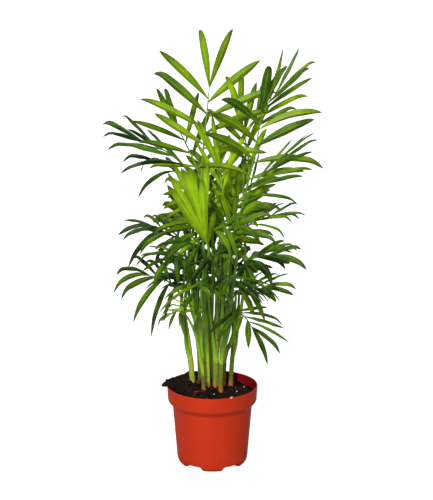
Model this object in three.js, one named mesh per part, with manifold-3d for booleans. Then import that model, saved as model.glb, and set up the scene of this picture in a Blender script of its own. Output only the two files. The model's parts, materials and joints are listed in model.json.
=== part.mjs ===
// A potted parlour palm: a clump of young palms in a thin-walled round nursery pot, filled with potting mix.
//
// Millimetres, +Z up. The origin is under the middle of the pot, on the surface that the pot stands on, and
// -Y is the plant's front. Each stem is one piece, and so is each frond: its stalk, its rib and its leaflets.
// A frond grows beside its stem with a small gap. A stalk or a leaflet that would grow into a neighbour
// turns aside, and a leaflet with no free place left isn't grown.
import * as THREE from "three";
import { mergeVertices } from "three/addons/utils/BufferGeometryUtils.js";
import Module from "manifold-3d";

const wasm = await Module();
wasm.setup();

// ---- Driving dimensions ----

// Pot
const POT_HEIGHT = 96;
const RIM_RADIUS = 54;
const COLLAR_HEIGHT = 18;
const COLLAR_TAPER = 1;
const SHOULDER_RADIUS = 47.4;
const SHOULDER_DROP = 6.5;
const HEEL_RADIUS = 42.4;
const HEEL_HEIGHT = 9;
// The corner of the heel's curve: its share of the way out to the heel, and its share of the heel's height.
const HEEL_CORNER = [0.75, 0.4];
const FOOT_RADIUS = 38.6;
const WALL = 1.4;
const FLOOR_LIFT = 6;
const FOOT_COUNT = 5;
const FOOT_ARC = 36;
const FOOT_DEPTH = 7;
const DRAIN_RADIUS = 4;
// From the recess's edge to the middle of a drain hole, in radii of the hole.
const DRAIN_INSET = 1.5;
const DRAIN_SIDES = 10;
const ARCH_SEGMENTS = 4;
const POT_SIDES = 36;
// How far a cutter runs past what it cuts.
const OVERRUN = 2;

// Potting mix
const SOIL_DROP = 12;
const HEAPS = [
  { x: -44, y: 0, height: 12, radius: 34 },
  { x: -20, y: 44, height: 10, radius: 32 },
];
const SOIL_LUMP = 1.2;
// Waves that make the lumps: radians per millimetre along x and y, where they start, and the share of the one
// that crosses them.
const LUMP_WAVES = { x: 0.31, y: 0.27, startX: 1.3, startY: -0.4, crossX: 0.23, crossY: 0.53, cross: 0.6 };
const SOIL_SIDES = 30;
const SOIL_RINGS = 5;
const PLANTING_DEPTH = 24;

// Gaps: between pieces that touch in life, and around stalks and leaflets that pass each other.
const CLEARANCE = 0.4;
const PASSING_ROOM = 0.5;

// Stems, stalks, ribs and leaflets
const STEM_SIDES = 7;
const STEM_STEPS = 6;
const STEM_TAPER = 0.35;
// The share of a stem's lean that it has from the start. It gains the rest along its height.
const STEM_FIRST_LEAN = 0.5;
const STALK_SIDES = 4;
const STALK_RADIUS = 2.2;
const RIB_RADIUS = 1.3;
const RIB_TIP_RADIUS = 0.8;
// How far a stalk leans out as it leaves its stem, and how long the pulls at its two ends are, as shares of
// its length.
const STALK_LEAN = 0.2;
const FOOT_PULL = 0.4;
const RIB_PULL = 0.3;
const LEAFLET_THICKNESS = 1.3;
const LEAFLET_NECK = 1.5;
// At its root a leaflet has this share of its thickness, and gains the rest at this rate along its length.
const ROOT_THICKNESS = 0.55;
const THICKENING = 3;
// A leaflet's outline: how blunt its two ends are, its width near the root, and what it loses by the tip.
const OUTLINE_BLUNTNESS = 0.62;
const OUTLINE_ROOT = 1.25;
const OUTLINE_LOSS = 0.5;
// The last pair, as shares of the others: how far it spreads, its length and its width.
const TERMINAL_SPREAD = 0.22;
const TERMINAL_LENGTH = 0.9;
const TERMINAL_WIDTH = 0.95;
// How much longer and wider the middle pairs are, and how far ahead of its fellow one side's leaflet sits.
const MIDDLE_GAIN = 0.16;
const PAIR_STAGGER = 0.12;
// How much one leaflet differs from the next: in degrees turned and lifted, then as shares.
const VARIED_TURN = 4;
const VARIED_LIFT = 5;
const VARIED_LENGTH = 0.06;
const VARIED_WIDTH = 0.08;
const VARIED_DROOP = 0.4;

// Places along a stalk, a rib and a leaflet, from 0 at the start to 1 at the end, where their rings lie.
const STALK_PLACES = [0, 0.15, 0.35, 0.6, 0.8, 1];
const RIB_PLACES = [0.33, 0.66, 1];
const LEAFLET_PLACES = [0, 0.22, 0.5, 0.8];

// Ways for a stalk to turn aside: degrees around its stem, then millimetres bowed to its side.
const STALK_WAYS = [0, 6, -6, 12, -12, 18, -18, 26, -26, 34, -34].flatMap((bow) =>
  [0, 35, -35, 70, -70, 110, -110, 150, -150].map((turn) => [turn, bow]),
);

// Ways for a leaflet to turn aside: degrees away from the rib's direction, then degrees up from the frond.
const LEAFLET_WAYS = [0, 8, -8, 16, -16, 25, -25].flatMap((lift) =>
  [0, 8, -8, 16].map((turn) => [turn, lift]),
);

// ---- The plants ----

// Heights here are above the level of the potting mix.
//
// Each stem: where it leaves the mix (x, y), the way it leans and how far in degrees, its height, and its
// radius at the bottom.
const STEMS = [
  { at: [-23, 12], towards: 175, lean: 7, height: 112, radius: 3.6 },
  { at: [-14, 34], towards: 150, lean: 5, height: 105, radius: 3.1 },
  { at: [-6, 12], towards: 185, lean: 2, height: 125, radius: 3.6 },
  { at: [4, 16], towards: 60, lean: 2, height: 125, radius: 3.8 },
  { at: [13, 20], towards: 0, lean: 3, height: 108, radius: 3 },
  { at: [22, 25], towards: 20, lean: 5, height: 100, radius: 2.8 },
  { at: [10, 4], towards: -60, lean: 3, height: 95, radius: 2.8 },
  { at: [-2, 30], towards: 95, lean: 4, height: 118, radius: 3.2 },
  { at: [12, 36], towards: 60, lean: 6, height: 104, radius: 3 },
  { at: [-14, 21], towards: 140, lean: 3, height: 118, radius: 3.2 },
  { at: [-10, -2], towards: 210, lean: 4, height: 90, radius: 2.6 },
];

// Each frond, in the order of FROND_KEYS: its stem; the height where its stalk leaves the stem; where its
// leafy rib starts (x, y, height) and ends; how far the rib bows up; the way its upper face looks, around and
// up in degrees; its pairs of leaflets; their length and width; how far from the rib's direction the lowest
// and the highest side pairs point; their lift from the frond's face in degrees; and their droop.
const FROND_KEYS = [
  "stem", "from", "x0", "y0", "h0", "x1", "y1", "h1", "bow", "around", "up",
  "pairs", "length", "width", "low", "high", "lift", "droop",
];
const FRONDS = [
  [3, 58, -10, -6, 298, -3, 0, 367, 2, -90, 10, 5, 88, 9.5, 66, 45, 4, 0.1],
  [9, 108, -17, 34, 266, -39, 38, 312, 3, -80, 20, 4, 70, 7, 60, 36, 6, 0.08],
  [4, 98, 42, -8, 262, 56, -16, 341, 3, -72, 12, 5, 84, 10, 62, 46, 8, 0.22],
  [5, 92, 48, 20, 318, 72, 26, 354, 3, -130, 34, 5, 76, 6.5, 34, 20, 0, 0.1],
  [0, 104, -32, 20, 272, -80, 28, 300, 5, -50, 50, 5, 66, 7.5, 30, 16, 4, 0.12],
  [1, 96, -42, 34, 262, -62, 40, 272, 3, -80, 66, 3, 60, 7, 48, 22, 6, 0.5],
  [2, 116, -5, -32, 190, -11, -38, 213, 2, -94, 6, 5, 96, 9, 18, 5, 4, 0.02],
  [3, 88, -3, -42, 204, 20, -60, 218, 4, -80, 60, 4, 58, 8, 66, 34, 6, 0.55],
  [0, 84, -40, 12, 190, -68, 18, 200, 5, -95, 66, 5, 50, 7, 66, 34, 8, 0.46],
  [0, 60, -42, -12, 134, -72, -24, 152, 5, -100, 50, 5, 58, 7, 74, 32, 6, 0.42],
  [6, 60, 26, -34, 112, 45, -62, 102, 5, -64, 30, 5, 50, 7, 78, 34, 6, 0.26],
  [6, 84, 28, -16, 128, 56, -28, 138, 4, -70, 56, 5, 52, 7, 70, 34, 6, 0.3],
  [4, 76, 36, -22, 164, 62, -30, 176, 4, -76, 66, 4, 58, 9.5, 56, 28, 6, 0.34],
  [5, 76, 38, 6, 200, 64, 12, 212, 4, -60, 80, 5, 54, 5.5, 56, 28, 6, 0.24],
  [6, 92, 40, -14, 244, 68, -20, 277, 4, -150, 26, 5, 80, 5.5, 34, 20, -6, 0.16],
  [7, 112, 12, -4, 246, 9, -6, 272, 1, -90, 10, 3, 84, 6, 14, 10, 4, 0.02],
  [2, 92, 0, -8, 166, 6, -38, 178, 4, -86, 34, 5, 60, 8, 62, 34, 6, 0.3],
  [9, 84, -26, -8, 168, -44, -34, 174, 4, -110, 40, 5, 58, 8, 62, 34, 6, 0.34],
  [10, 70, -8, -44, 148, -16, -80, 150, 5, -96, 50, 5, 52, 7, 68, 34, 6, 0.36],
  [10, 50, -36, -14, 106, -46, -20, 106, 2, -100, 60, 3, 20, 4, 60, 34, 4, 0.4],
  [4, 60, 14, -26, 150, 26, -56, 154, 4, -60, 50, 5, 56, 7, 66, 34, 6, 0.36],
  [7, 98, -8, 42, 200, -16, 60, 228, 5, 100, 40, 5, 58, 8.5, 62, 36, 6, 0.14],
  [8, 96, 24, 42, 208, 34, 58, 240, 5, 70, 40, 5, 60, 8.5, 64, 36, 8, 0.12],
  [8, 72, 12, 54, 178, 18, 80, 192, 5, 86, 60, 5, 52, 8.5, 66, 34, 6, 0.34],
  [1, 76, -38, 48, 172, -58, 64, 182, 4, 130, 56, 4, 48, 8.5, 66, 34, 6, 0.34],
  [5, 56, 42, 44, 150, 62, 58, 158, 4, 40, 56, 4, 46, 8.5, 66, 34, 6, 0.36],
  [1, 52, -24, 56, 124, -40, 80, 126, 4, 120, 56, 5, 48, 7.5, 70, 34, 6, 0.36],
  [8, 48, 22, 58, 112, 32, 82, 110, 4, 70, 56, 5, 48, 7.5, 70, 34, 6, 0.36],
  [7, 80, 2, 38, 226, 6, 48, 262, 3, 90, 16, 5, 56, 8.5, 58, 38, 6, 0.08],
  [9, 64, -26, 42, 180, -36, 66, 204, 4, 130, 46, 5, 56, 7.5, 60, 34, 6, 0.2],
  [2, 70, -8, 8, 192, -26, 0, 214, 4, -84, 24, 5, 52, 8, 62, 36, 4, 0.16],
  [3, 64, 12, 6, 184, 24, -4, 210, 4, -92, 26, 5, 60, 9, 62, 36, 4, 0.2],
  [9, 94, -14, 4, 226, -28, -4, 246, 4, -100, 36, 5, 46, 7, 58, 34, 6, 0.22],
  [4, 88, 22, 20, 206, 30, 24, 236, 4, -80, 20, 5, 50, 8, 58, 36, 6, 0.12],
  [7, 56, -4, 28, 200, -8, 34, 234, 4, -94, 22, 5, 52, 8, 60, 38, 6, 0.1],
  [2, 66, -10, -8, 102, -27, -20, 110, 2, -100, 60, 4, 34, 4.5, 64, 34, 6, 0.1],
  [2, 104, -13, -39, 190, -21, -44, 194, 2, -100, 50, 2, 58, 7, 50, 30, 6, 0.6],
  [5, 84, 43, 12, 274, 33, 8, 333, 3, -80, 14, 4, 66, 8, 36, 18, 4, 0.04],
  [9, 60, -22, 34, 118, -26, 38, 168, 3, -90, 16, 6, 40, 9, 66, 36, 6, 0.2],
  [7, 44, 4, 40, 116, 0, 44, 166, 3, -90, 16, 6, 42, 9, 66, 36, 6, 0.2],
  [8, 44, 22, 42, 112, 26, 44, 160, 3, -90, 16, 6, 40, 9, 66, 36, 6, 0.2],
].map((row) => Object.fromEntries(row.map((value, i) => [FROND_KEYS[i], value])));

// The level of the potting mix, away from its lumps and its heap.
const MIX_LEVEL = POT_HEIGHT - SOIL_DROP;

const radians = THREE.MathUtils.degToRad;
const lerp = THREE.MathUtils.lerp;

// ---- Solids ----

// A closed mesh as a manifold-3d solid: only positions are kept, and shared corners are merged.
function solidOf(geometry) {
  const bare = geometry.index ? geometry.toNonIndexed() : geometry.clone();
  bare.deleteAttribute("normal");
  bare.deleteAttribute("uv");
  const merged = mergeVertices(bare, 1e-4);
  return new wasm.Manifold(
    new wasm.Mesh({
      numProp: 3,
      vertProperties: new Float32Array(merged.attributes.position.array),
      triVerts: new Uint32Array(merged.index.array),
    }),
  );
}

function geometryOf(solid) {
  const mesh = solid.getMesh();
  const corners = new Float32Array(mesh.numVert * 3);
  for (let i = 0; i < mesh.numVert; i++) {
    corners.set(mesh.vertProperties.subarray(i * mesh.numProp, i * mesh.numProp + 3), i * 3);
  }
  const made = new THREE.BufferGeometry();
  made.setAttribute("position", new THREE.BufferAttribute(corners, 3));
  made.setIndex(new THREE.BufferAttribute(new Uint32Array(mesh.triVerts), 1));
  made.computeVertexNormals();
  return made;
}

// Rings of points joined into a closed skin. Each ring runs anticlockwise, seen from ahead looking back. A
// ring may be a single point, where the skin comes to a tip.
function skin(rings) {
  const corners = [];
  const cap = (ring, backwards) => {
    for (let i = 1; i + 1 < ring.length; i++) {
      corners.push(...(backwards ? [ring[0], ring[i + 1], ring[i]] : [ring[0], ring[i], ring[i + 1]]));
    }
  };
  for (let r = 0; r + 1 < rings.length; r++) {
    const [from, to] = [rings[r], rings[r + 1]];
    const count = Math.max(from.length, to.length);
    for (let i = 0; i < count; i++) {
      const next = (i + 1) % count;
      if (to.length === 1) corners.push(from[i], from[next], to[0]);
      else if (from.length === 1) corners.push(from[0], to[next], to[i]);
      else corners.push(from[i], from[next], to[next], from[i], to[next], to[i]);
    }
  }
  cap(rings[0], true);
  cap(rings[rings.length - 1], false);
  return new THREE.BufferGeometry().setFromPoints(corners);
}

// ---- Pot ----

// A closed profile of [radius, height] points, listed anticlockwise, turned about the Z axis.
function lathe(profile, sides) {
  const points = profile.map(([radius, height]) => new THREE.Vector2(radius, height));
  return solidOf(new THREE.LatheGeometry([...points, points[0].clone()], sides).rotateX(Math.PI / 2));
}

// The pot's outside, from the foot to the rim.
function outline() {
  const collar = POT_HEIGHT - COLLAR_HEIGHT;
  return [
    [FOOT_RADIUS, 0],
    [lerp(FOOT_RADIUS, HEEL_RADIUS, HEEL_CORNER[0]), HEEL_HEIGHT * HEEL_CORNER[1]],
    [HEEL_RADIUS, HEEL_HEIGHT],
    [SHOULDER_RADIUS, collar - SHOULDER_DROP],
    [RIM_RADIUS - COLLAR_TAPER, collar],
    [RIM_RADIUS, POT_HEIGHT],
  ];
}

// The radius inside the pot's wall at a height.
function insideRadius(height) {
  const line = outline();
  const above = Math.max(1, line.findIndex(([, level]) => level >= height));
  const [[r0, z0], [r1, z1]] = [line[above - 1], line[above]];
  return THREE.MathUtils.mapLinear(height, z0, z1, r0, r1) - WALL;
}

// A wedge of a ring that cuts one arch between two feet.
function archCutter(angle) {
  const inner = FOOT_RADIUS - FOOT_DEPTH - OVERRUN / 2;
  const half = radians(180 / FOOT_COUNT - FOOT_ARC / 2);
  const wedge = new THREE.Shape();
  wedge.absarc(0, 0, RIM_RADIUS, angle - half, angle + half, false);
  wedge.absarc(0, 0, inner, angle + half, angle - half, true);
  const options = { depth: FLOOR_LIFT + OVERRUN, bevelEnabled: false, curveSegments: ARCH_SEGMENTS };
  return solidOf(new THREE.ExtrudeGeometry(wedge, options).translate(0, 0, -OVERRUN));
}

function drainCutter(angle) {
  const place = FOOT_RADIUS - FOOT_DEPTH - DRAIN_INSET * DRAIN_RADIUS;
  const depth = WALL + 2 * OVERRUN;
  const hole = new THREE.CylinderGeometry(DRAIN_RADIUS, DRAIN_RADIUS, depth, DRAIN_SIDES);
  hole.rotateX(Math.PI / 2);
  return solidOf(hole.translate(place * Math.cos(angle), place * Math.sin(angle), FLOOR_LIFT + WALL / 2));
}

function makePot() {
  const floor = FLOOR_LIFT + WALL;
  const shoulder = POT_HEIGHT - COLLAR_HEIGHT - SHOULDER_DROP;
  const inside = [
    [RIM_RADIUS - WALL, POT_HEIGHT],
    [RIM_RADIUS - COLLAR_TAPER - WALL, POT_HEIGHT - COLLAR_HEIGHT],
    [SHOULDER_RADIUS - WALL, shoulder],
    [HEEL_RADIUS - WALL, HEEL_HEIGHT],
    [insideRadius(floor), floor],
  ];
  let pot = lathe([[0, 0], ...outline(), ...inside, [0, floor]], POT_SIDES);
  const hollow = FOOT_RADIUS - FOOT_DEPTH;
  const recess = [
    [0, -OVERRUN],
    [hollow, -OVERRUN],
    [hollow, FLOOR_LIFT],
    [0, FLOOR_LIFT],
  ];
  pot = pot.subtract(lathe(recess, POT_SIDES));
  for (let i = 0; i < FOOT_COUNT; i++) {
    const arch = radians(-90 + (360 / FOOT_COUNT) * (i + 0.5));
    pot = pot.subtract(archCutter(arch)).subtract(drainCutter(arch));
  }
  return pot;
}

// ---- Potting mix ----

// The top of the potting mix: level but lumpy, with a heap on each of two sides.
function soilHeight(x, y) {
  const wave = LUMP_WAVES;
  const lumps = Math.sin(wave.x * x + wave.startX) * Math.cos(wave.y * y + wave.startY);
  const crossing = wave.cross * Math.sin(wave.crossX * x + wave.crossY * y);
  const heaped = HEAPS.reduce((sum, heap) => {
    const away = Math.hypot(x - heap.x, y - heap.y) / heap.radius;
    return sum + heap.height * Math.exp(-away * away);
  }, 0);
  return MIX_LEVEL + heaped + SOIL_LUMP * (lumps + crossing);
}

function makeSoil() {
  const floor = FLOOR_LIFT + WALL + CLEARANCE;
  const shoulder = POT_HEIGHT - COLLAR_HEIGHT - SHOULDER_DROP;
  // The corners of the mix keep clear of the flats of the pot's facets.
  const flats = 1 - Math.cos(Math.PI / POT_SIDES);
  const fit = (height) => insideRadius(height) * (1 - flats) - CLEARANCE;
  const around = (radius, height) =>
    Array.from({ length: SOIL_SIDES }, (_, i) => {
      const angle = (2 * Math.PI * i) / SOIL_SIDES;
      const [x, y] = [radius * Math.cos(angle), radius * Math.sin(angle)];
      return new THREE.Vector3(x, y, height ?? soilHeight(x, y));
    });
  const collar = POT_HEIGHT - COLLAR_HEIGHT;
  const rings = [
    [new THREE.Vector3(0, 0, floor)],
    around(fit(floor), floor),
    around(fit(HEEL_HEIGHT), HEEL_HEIGHT),
    around(fit(shoulder), shoulder),
    around(fit(collar), collar),
  ];
  for (let i = 0; i < SOIL_RINGS; i++) rings.push(around(fit(collar) * (1 - i / SOIL_RINGS)));
  rings.push([new THREE.Vector3(0, 0, soilHeight(0, 0))]);
  return solidOf(skin(rings));
}

// ---- Stems ----

// The middle of a stem at a height above the level of the mix: upright at first, then leaning over.
function stemPoint(stem, height) {
  const way = radians(stem.towards);
  const rise = Math.max(0, height);
  const out = Math.tan(radians(stem.lean)) * rise * lerp(STEM_FIRST_LEAN, 1, rise / stem.height);
  const [x, y] = [stem.at[0] + out * Math.cos(way), stem.at[1] + out * Math.sin(way)];
  return new THREE.Vector3(x, y, MIX_LEVEL + height);
}

function stemRadius(stem, height) {
  return stem.radius * (1 - (STEM_TAPER * Math.max(0, height)) / stem.height);
}

// A ring of points about a middle, in the plane of two directions at right angles.
function ringAbout(middle, radius, across, up, sides) {
  return Array.from({ length: sides }, (_, i) => {
    const angle = (2 * Math.PI * i) / sides;
    const point = middle.clone().addScaledVector(across, radius * Math.cos(angle));
    return point.addScaledVector(up, radius * Math.sin(angle));
  });
}

const X_AXIS = new THREE.Vector3(1, 0, 0);
const Y_AXIS = new THREE.Vector3(0, 1, 0);
const Z_AXIS = new THREE.Vector3(0, 0, 1);

function makeStem(stem, spare) {
  const rings = [];
  for (let i = 0; i <= STEM_STEPS; i++) {
    const height = lerp(-PLANTING_DEPTH - spare, stem.height, i / STEM_STEPS);
    const radius = stemRadius(stem, height) + spare;
    rings.push(ringAbout(stemPoint(stem, height), radius, X_AXIS, Y_AXIS, STEM_SIDES));
  }
  return solidOf(skin(rings));
}

// ---- Fronds ----

// The rib's ends, its bend, and its three directions: along, out of its upper face, and to its side.
function ribOf(frond) {
  const start = new THREE.Vector3(frond.x0, frond.y0, MIX_LEVEL + frond.h0);
  const end = new THREE.Vector3(frond.x1, frond.y1, MIX_LEVEL + frond.h1);
  const along = end.clone().sub(start).normalize();
  const [around, up] = [radians(frond.around), radians(frond.up)];
  const level = Math.cos(up);
  const look = new THREE.Vector3(Math.cos(around) * level, Math.sin(around) * level, Math.sin(up));
  const face = look.addScaledVector(along, -look.dot(along)).normalize();
  const side = face.clone().cross(along);
  const bend = start.clone().add(end).multiplyScalar(0.5).addScaledVector(face, 2 * frond.bow);
  return { start, end, along, face, side, bend };
}

function ribPoint(rib, place) {
  const before = rib.start.clone().lerp(rib.bend, place);
  return before.lerp(rib.bend.clone().lerp(rib.end, place), place);
}

// The stalk, from beside its stem to the start of its rib: a cubic curve, bowed to one side.
function stalkCurve(frond, rib, [turn, bow]) {
  const stem = STEMS[frond.stem];
  const foot = stemPoint(stem, frond.from);
  const heading = Math.atan2(rib.start.y - foot.y, rib.start.x - foot.x) + radians(turn);
  const outward = new THREE.Vector3(Math.cos(heading), Math.sin(heading), 0);
  foot.addScaledVector(outward, stemRadius(stem, frond.from) + CLEARANCE + STALK_RADIUS);
  const rise = Z_AXIS.clone().addScaledVector(outward, STALK_LEAN).normalize();
  const length = rib.start.distanceTo(foot);
  const into = rib.bend.clone().sub(rib.start).normalize();
  const first = foot.clone().addScaledVector(rise, FOOT_PULL * length);
  const last = rib.start.clone().addScaledVector(into, -RIB_PULL * length);
  const curve = new THREE.CubicBezierCurve3(foot, first, last, rib.start);
  return (place) => curve.getPoint(place).addScaledVector(rib.side, bow * Math.sin(Math.PI * place));
}

// The solid of a rib, with its stalk unless the way for the stalk is null. The spare is added all round.
function makeStalk(frond, way, spare) {
  const rib = ribOf(frond);
  const stalkPlaces = way ? STALK_PLACES : [1];
  const stalk = way ? stalkCurve(frond, rib, way) : () => rib.start.clone();
  const points = [...stalkPlaces.map(stalk), ...RIB_PLACES.map((place) => ribPoint(rib, place))];
  const radii = [
    ...stalkPlaces.map((place) => lerp(STALK_RADIUS, RIB_RADIUS, Math.sqrt(place))),
    ...RIB_PLACES.map((place) => lerp(RIB_RADIUS, RIB_TIP_RADIUS, place)),
  ];
  const rings = points.map((point, i) => {
    const ahead = points[Math.min(i + 1, points.length - 1)];
    const along = ahead.clone().sub(points[Math.max(i - 1, 0)]).normalize();
    const across = rib.side.clone().addScaledVector(along, -rib.side.dot(along)).normalize();
    return ringAbout(point, radii[i] + spare, across, along.clone().cross(across), STALK_SIDES);
  });
  return solidOf(skin(rings));
}

// A leaflet's width at a place along it, as a part of its greatest width.
function leafletShape(place) {
  return Math.pow(4 * place * (1 - place), OUTLINE_BLUNTNESS) * (OUTLINE_ROOT - OUTLINE_LOSS * place);
}

// Two numbers from -1 to 1 by which one leaflet differs from the others.
function leafletChance(frond, pair, sign) {
  return {
    vary: Math.sin(3.7 * pair + 2.3 * sign + 1.9 * frond.stem + 0.05 * frond.from),
    rise: Math.sin(5.1 * pair + 1.3 * sign + frond.stem),
  };
}

// One leaflet: which pair it is in, which side it is on, and the way it turns aside.
function leafletCurve(frond, rib, pair, sign, [turn, lift]) {
  const last = frond.pairs - 1;
  const terminal = pair === last;
  const { vary, rise } = leafletChance(frond, pair, sign);
  const place = terminal ? 1 : (pair + PAIR_STAGGER * (1 + sign)) / last;
  const side = lerp(frond.low, frond.high, last > 1 ? pair / (last - 1) : 0);
  const spread = terminal ? TERMINAL_SPREAD * frond.high : side;
  const angle = radians(spread + turn + VARIED_TURN * vary);
  const raise = radians(frond.lift + lift + VARIED_LIFT * rise);
  const middle = 1 - MIDDLE_GAIN * Math.pow((2 * pair) / last - 1, 2);
  const length = frond.length * (terminal ? TERMINAL_LENGTH : middle) * (1 + VARIED_LENGTH * vary);
  const width = frond.width * (terminal ? TERMINAL_WIDTH : middle) * (1 - VARIED_WIDTH * vary);
  const way = rib.along.clone().multiplyScalar(Math.cos(angle) * Math.cos(raise));
  way.addScaledVector(rib.side, sign * Math.sin(angle) * Math.cos(raise));
  way.addScaledVector(rib.face, Math.sin(raise));
  const root = ribPoint(rib, place);
  const droop = frond.droop * (1 + VARIED_DROOP * vary);
  const point = (s) =>
    root.clone().addScaledVector(way, length * s).addScaledVector(Z_AXIS, -droop * length * s * s);
  const tangent = (s) => way.clone().addScaledVector(Z_AXIS, -2 * droop * s).normalize();
  return { point, tangent, width };
}

// The solid of a leaflet: two edges and a raised midrib. The spare is added all round.
function makeLeaflet(frond, pair, sign, way, spare) {
  const rib = ribOf(frond);
  const { point, tangent, width } = leafletCurve(frond, rib, pair, sign, way);
  const rings = LEAFLET_PLACES.map((place) => {
    const along = tangent(place);
    const up = rib.face.clone().addScaledVector(along, -rib.face.dot(along)).normalize();
    const across = up.clone().cross(along);
    const half = Math.max(LEAFLET_NECK, width * leafletShape(place)) / 2 + spare;
    const thick = LEAFLET_THICKNESS * Math.min(1, ROOT_THICKNESS + THICKENING * place) + spare;
    const offset = (x, z) => point(place).addScaledVector(across, x).addScaledVector(up, z);
    const under = spare > 0 ? [offset(0, -spare)] : [];
    return [offset(half, 0), offset(0, thick), offset(-half, 0), ...under];
  });
  const tip = point(1).addScaledVector(tangent(1), spare);
  return solidOf(skin([...rings, [tip]]));
}

// ---- Placing ----

const placed = [];

function place(solid, owner) {
  placed.push({ solid, owner, box: solid.boundingBox() });
  return solid;
}

function boxesMeet(a, b) {
  return [0, 1, 2].every((axis) => a.min[axis] <= b.max[axis] && b.min[axis] <= a.max[axis]);
}

// Whether a solid meets nothing that is placed already, apart from its owner's own pieces.
function isFree(solid, owner) {
  const box = solid.boundingBox();
  return placed.every((other) => {
    if (other.owner === owner || !boxesMeet(box, other.box)) return true;
    const common = solid.intersect(other.solid);
    const empty = common.isEmpty();
    common.delete();
    return empty;
  });
}

// The first way that keeps its solid free, or null.
function freeWay(ways, make, owner) {
  return ways.find((way) => isFree(make(way), owner)) ?? null;
}

const potSolid = place(makePot(), "pot");
let soilSolid = makeSoil();
STEMS.forEach((stem) => {
  soilSolid = soilSolid.subtract(makeStem(stem, CLEARANCE));
});
place(soilSolid, "soil");
const stemSolids = STEMS.map((stem) => place(makeStem(stem, 0), "stem"));

// Every rib's place is kept free before the stalks find their ways between them.
FRONDS.forEach((frond) => place(makeStalk(frond, null, 0), frond));
const frondSolids = FRONDS.map((frond) => {
  const way = freeWay(STALK_WAYS, (choice) => makeStalk(frond, choice, PASSING_ROOM), frond);
  if (way === null) throw new Error(`the stalk of frond ${FRONDS.indexOf(frond) + 1} has no free way`);
  return place(makeStalk(frond, way, 0), frond);
});

FRONDS.forEach((frond, index) => {
  for (let pair = 0; pair < frond.pairs; pair++) {
    for (const sign of [-1, 1]) {
      const make = (choice) => makeLeaflet(frond, pair, sign, choice, PASSING_ROOM);
      const way = freeWay(LEAFLET_WAYS, make, frond);
      if (way === null) continue;
      const leaflet = place(makeLeaflet(frond, pair, sign, way, 0), frond);
      frondSolids[index] = frondSolids[index].add(leaflet);
    }
  }
});

// ---- The object ----

function piece(name, solid, color, roughness) {
  const material = new THREE.MeshStandardMaterial({ color, roughness, metalness: 0 });
  const mesh = new THREE.Mesh(geometryOf(solid), material);
  mesh.name = name;
  return mesh;
}

const palm = new THREE.Group();
palm.name = "potted_palm";
palm.add(piece("pot", potSolid, "#c23a1c", 0.45));
palm.add(piece("potting_mix", soilSolid, "#1c130d", 0.95));
stemSolids.forEach((solid, i) => palm.add(piece(`stem_${i + 1}`, solid, "#7d9a3c", 0.5)));
frondSolids.forEach((solid, i) => palm.add(piece(`frond_${i + 1}`, solid, "#4d8a1e", 0.4)));

export default palm;
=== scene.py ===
"""Looks for a potted parlour palm: its pot, potting mix, canes and fronds, worked out as surfaces.

Lengths inside are in millimetres, +Z up, -Y the plant's front, and meshes are written in metres.
"""

import json
from types import SimpleNamespace

import bpy
import numpy as np
from bpy.props import FloatProperty, FloatVectorProperty, IntProperty, PointerProperty
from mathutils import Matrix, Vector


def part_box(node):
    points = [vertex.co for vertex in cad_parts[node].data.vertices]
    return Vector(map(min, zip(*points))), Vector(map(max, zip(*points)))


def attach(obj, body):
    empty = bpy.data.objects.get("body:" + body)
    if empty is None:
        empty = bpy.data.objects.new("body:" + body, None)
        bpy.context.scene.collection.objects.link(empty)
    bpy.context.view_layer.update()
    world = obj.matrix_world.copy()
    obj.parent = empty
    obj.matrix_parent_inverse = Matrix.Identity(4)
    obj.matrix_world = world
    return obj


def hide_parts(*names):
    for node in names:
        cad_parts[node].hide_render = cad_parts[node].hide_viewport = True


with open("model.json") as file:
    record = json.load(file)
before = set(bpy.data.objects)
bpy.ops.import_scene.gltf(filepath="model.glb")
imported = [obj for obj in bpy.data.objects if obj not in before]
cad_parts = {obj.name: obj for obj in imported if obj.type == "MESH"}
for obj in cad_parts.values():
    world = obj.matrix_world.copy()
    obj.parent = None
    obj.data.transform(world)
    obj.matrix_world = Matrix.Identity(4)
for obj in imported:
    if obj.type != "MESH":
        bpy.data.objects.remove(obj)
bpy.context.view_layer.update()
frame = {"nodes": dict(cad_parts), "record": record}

bl_info = {
    "name": "Potted Parlour Palm",
    "version": (1, 0, 0),
    "blender": (4, 5, 0),
    "location": "View3D > Sidebar > Palm",
    "description": "Builds the pot, mix, canes and fronds of a potted parlour palm around its solid model",
    "category": "Object",
}

MM = 0.001
POT_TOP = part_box("pot")[1].z / MM
RIM_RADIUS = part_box("pot")[1].x / MM
SOIL_DROP = 12
MIX_LEVEL = POT_TOP - SOIL_DROP

# The pot: its wall, floor, feet and drains, and its outline, as radius and height, from its foot to its rim.
WALL = 1.4
FLOOR_LIFT = 6
FOOT_WIDTH = 7
FOOT_COUNT = 5
FOOT_ARC = 36
ARCH_RISE = 0.97
DRAIN_RADIUS = 4
HEEL_TOP = 9
SHOULDER_FOOT = POT_TOP - 24.5
COLLAR_FOOT = POT_TOP - 18
POT_OUTLINE = [
    (38.6, 0), (41.45, 3.6), (42.4, HEEL_TOP), (47.4, SHOULDER_FOOT), (53, COLLAR_FOOT), (54, POT_TOP),
]
# The shortest step kept in the pot's section, and the longest before it is divided.
LEAST_STEP = 0.02
LONGEST_STEP = 7

# The heaps of the mix: where each stands (x, y), its height and its radius.
HEAPS = ((-44, 0, 12, 34), (-20, 44, 10, 32))

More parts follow.
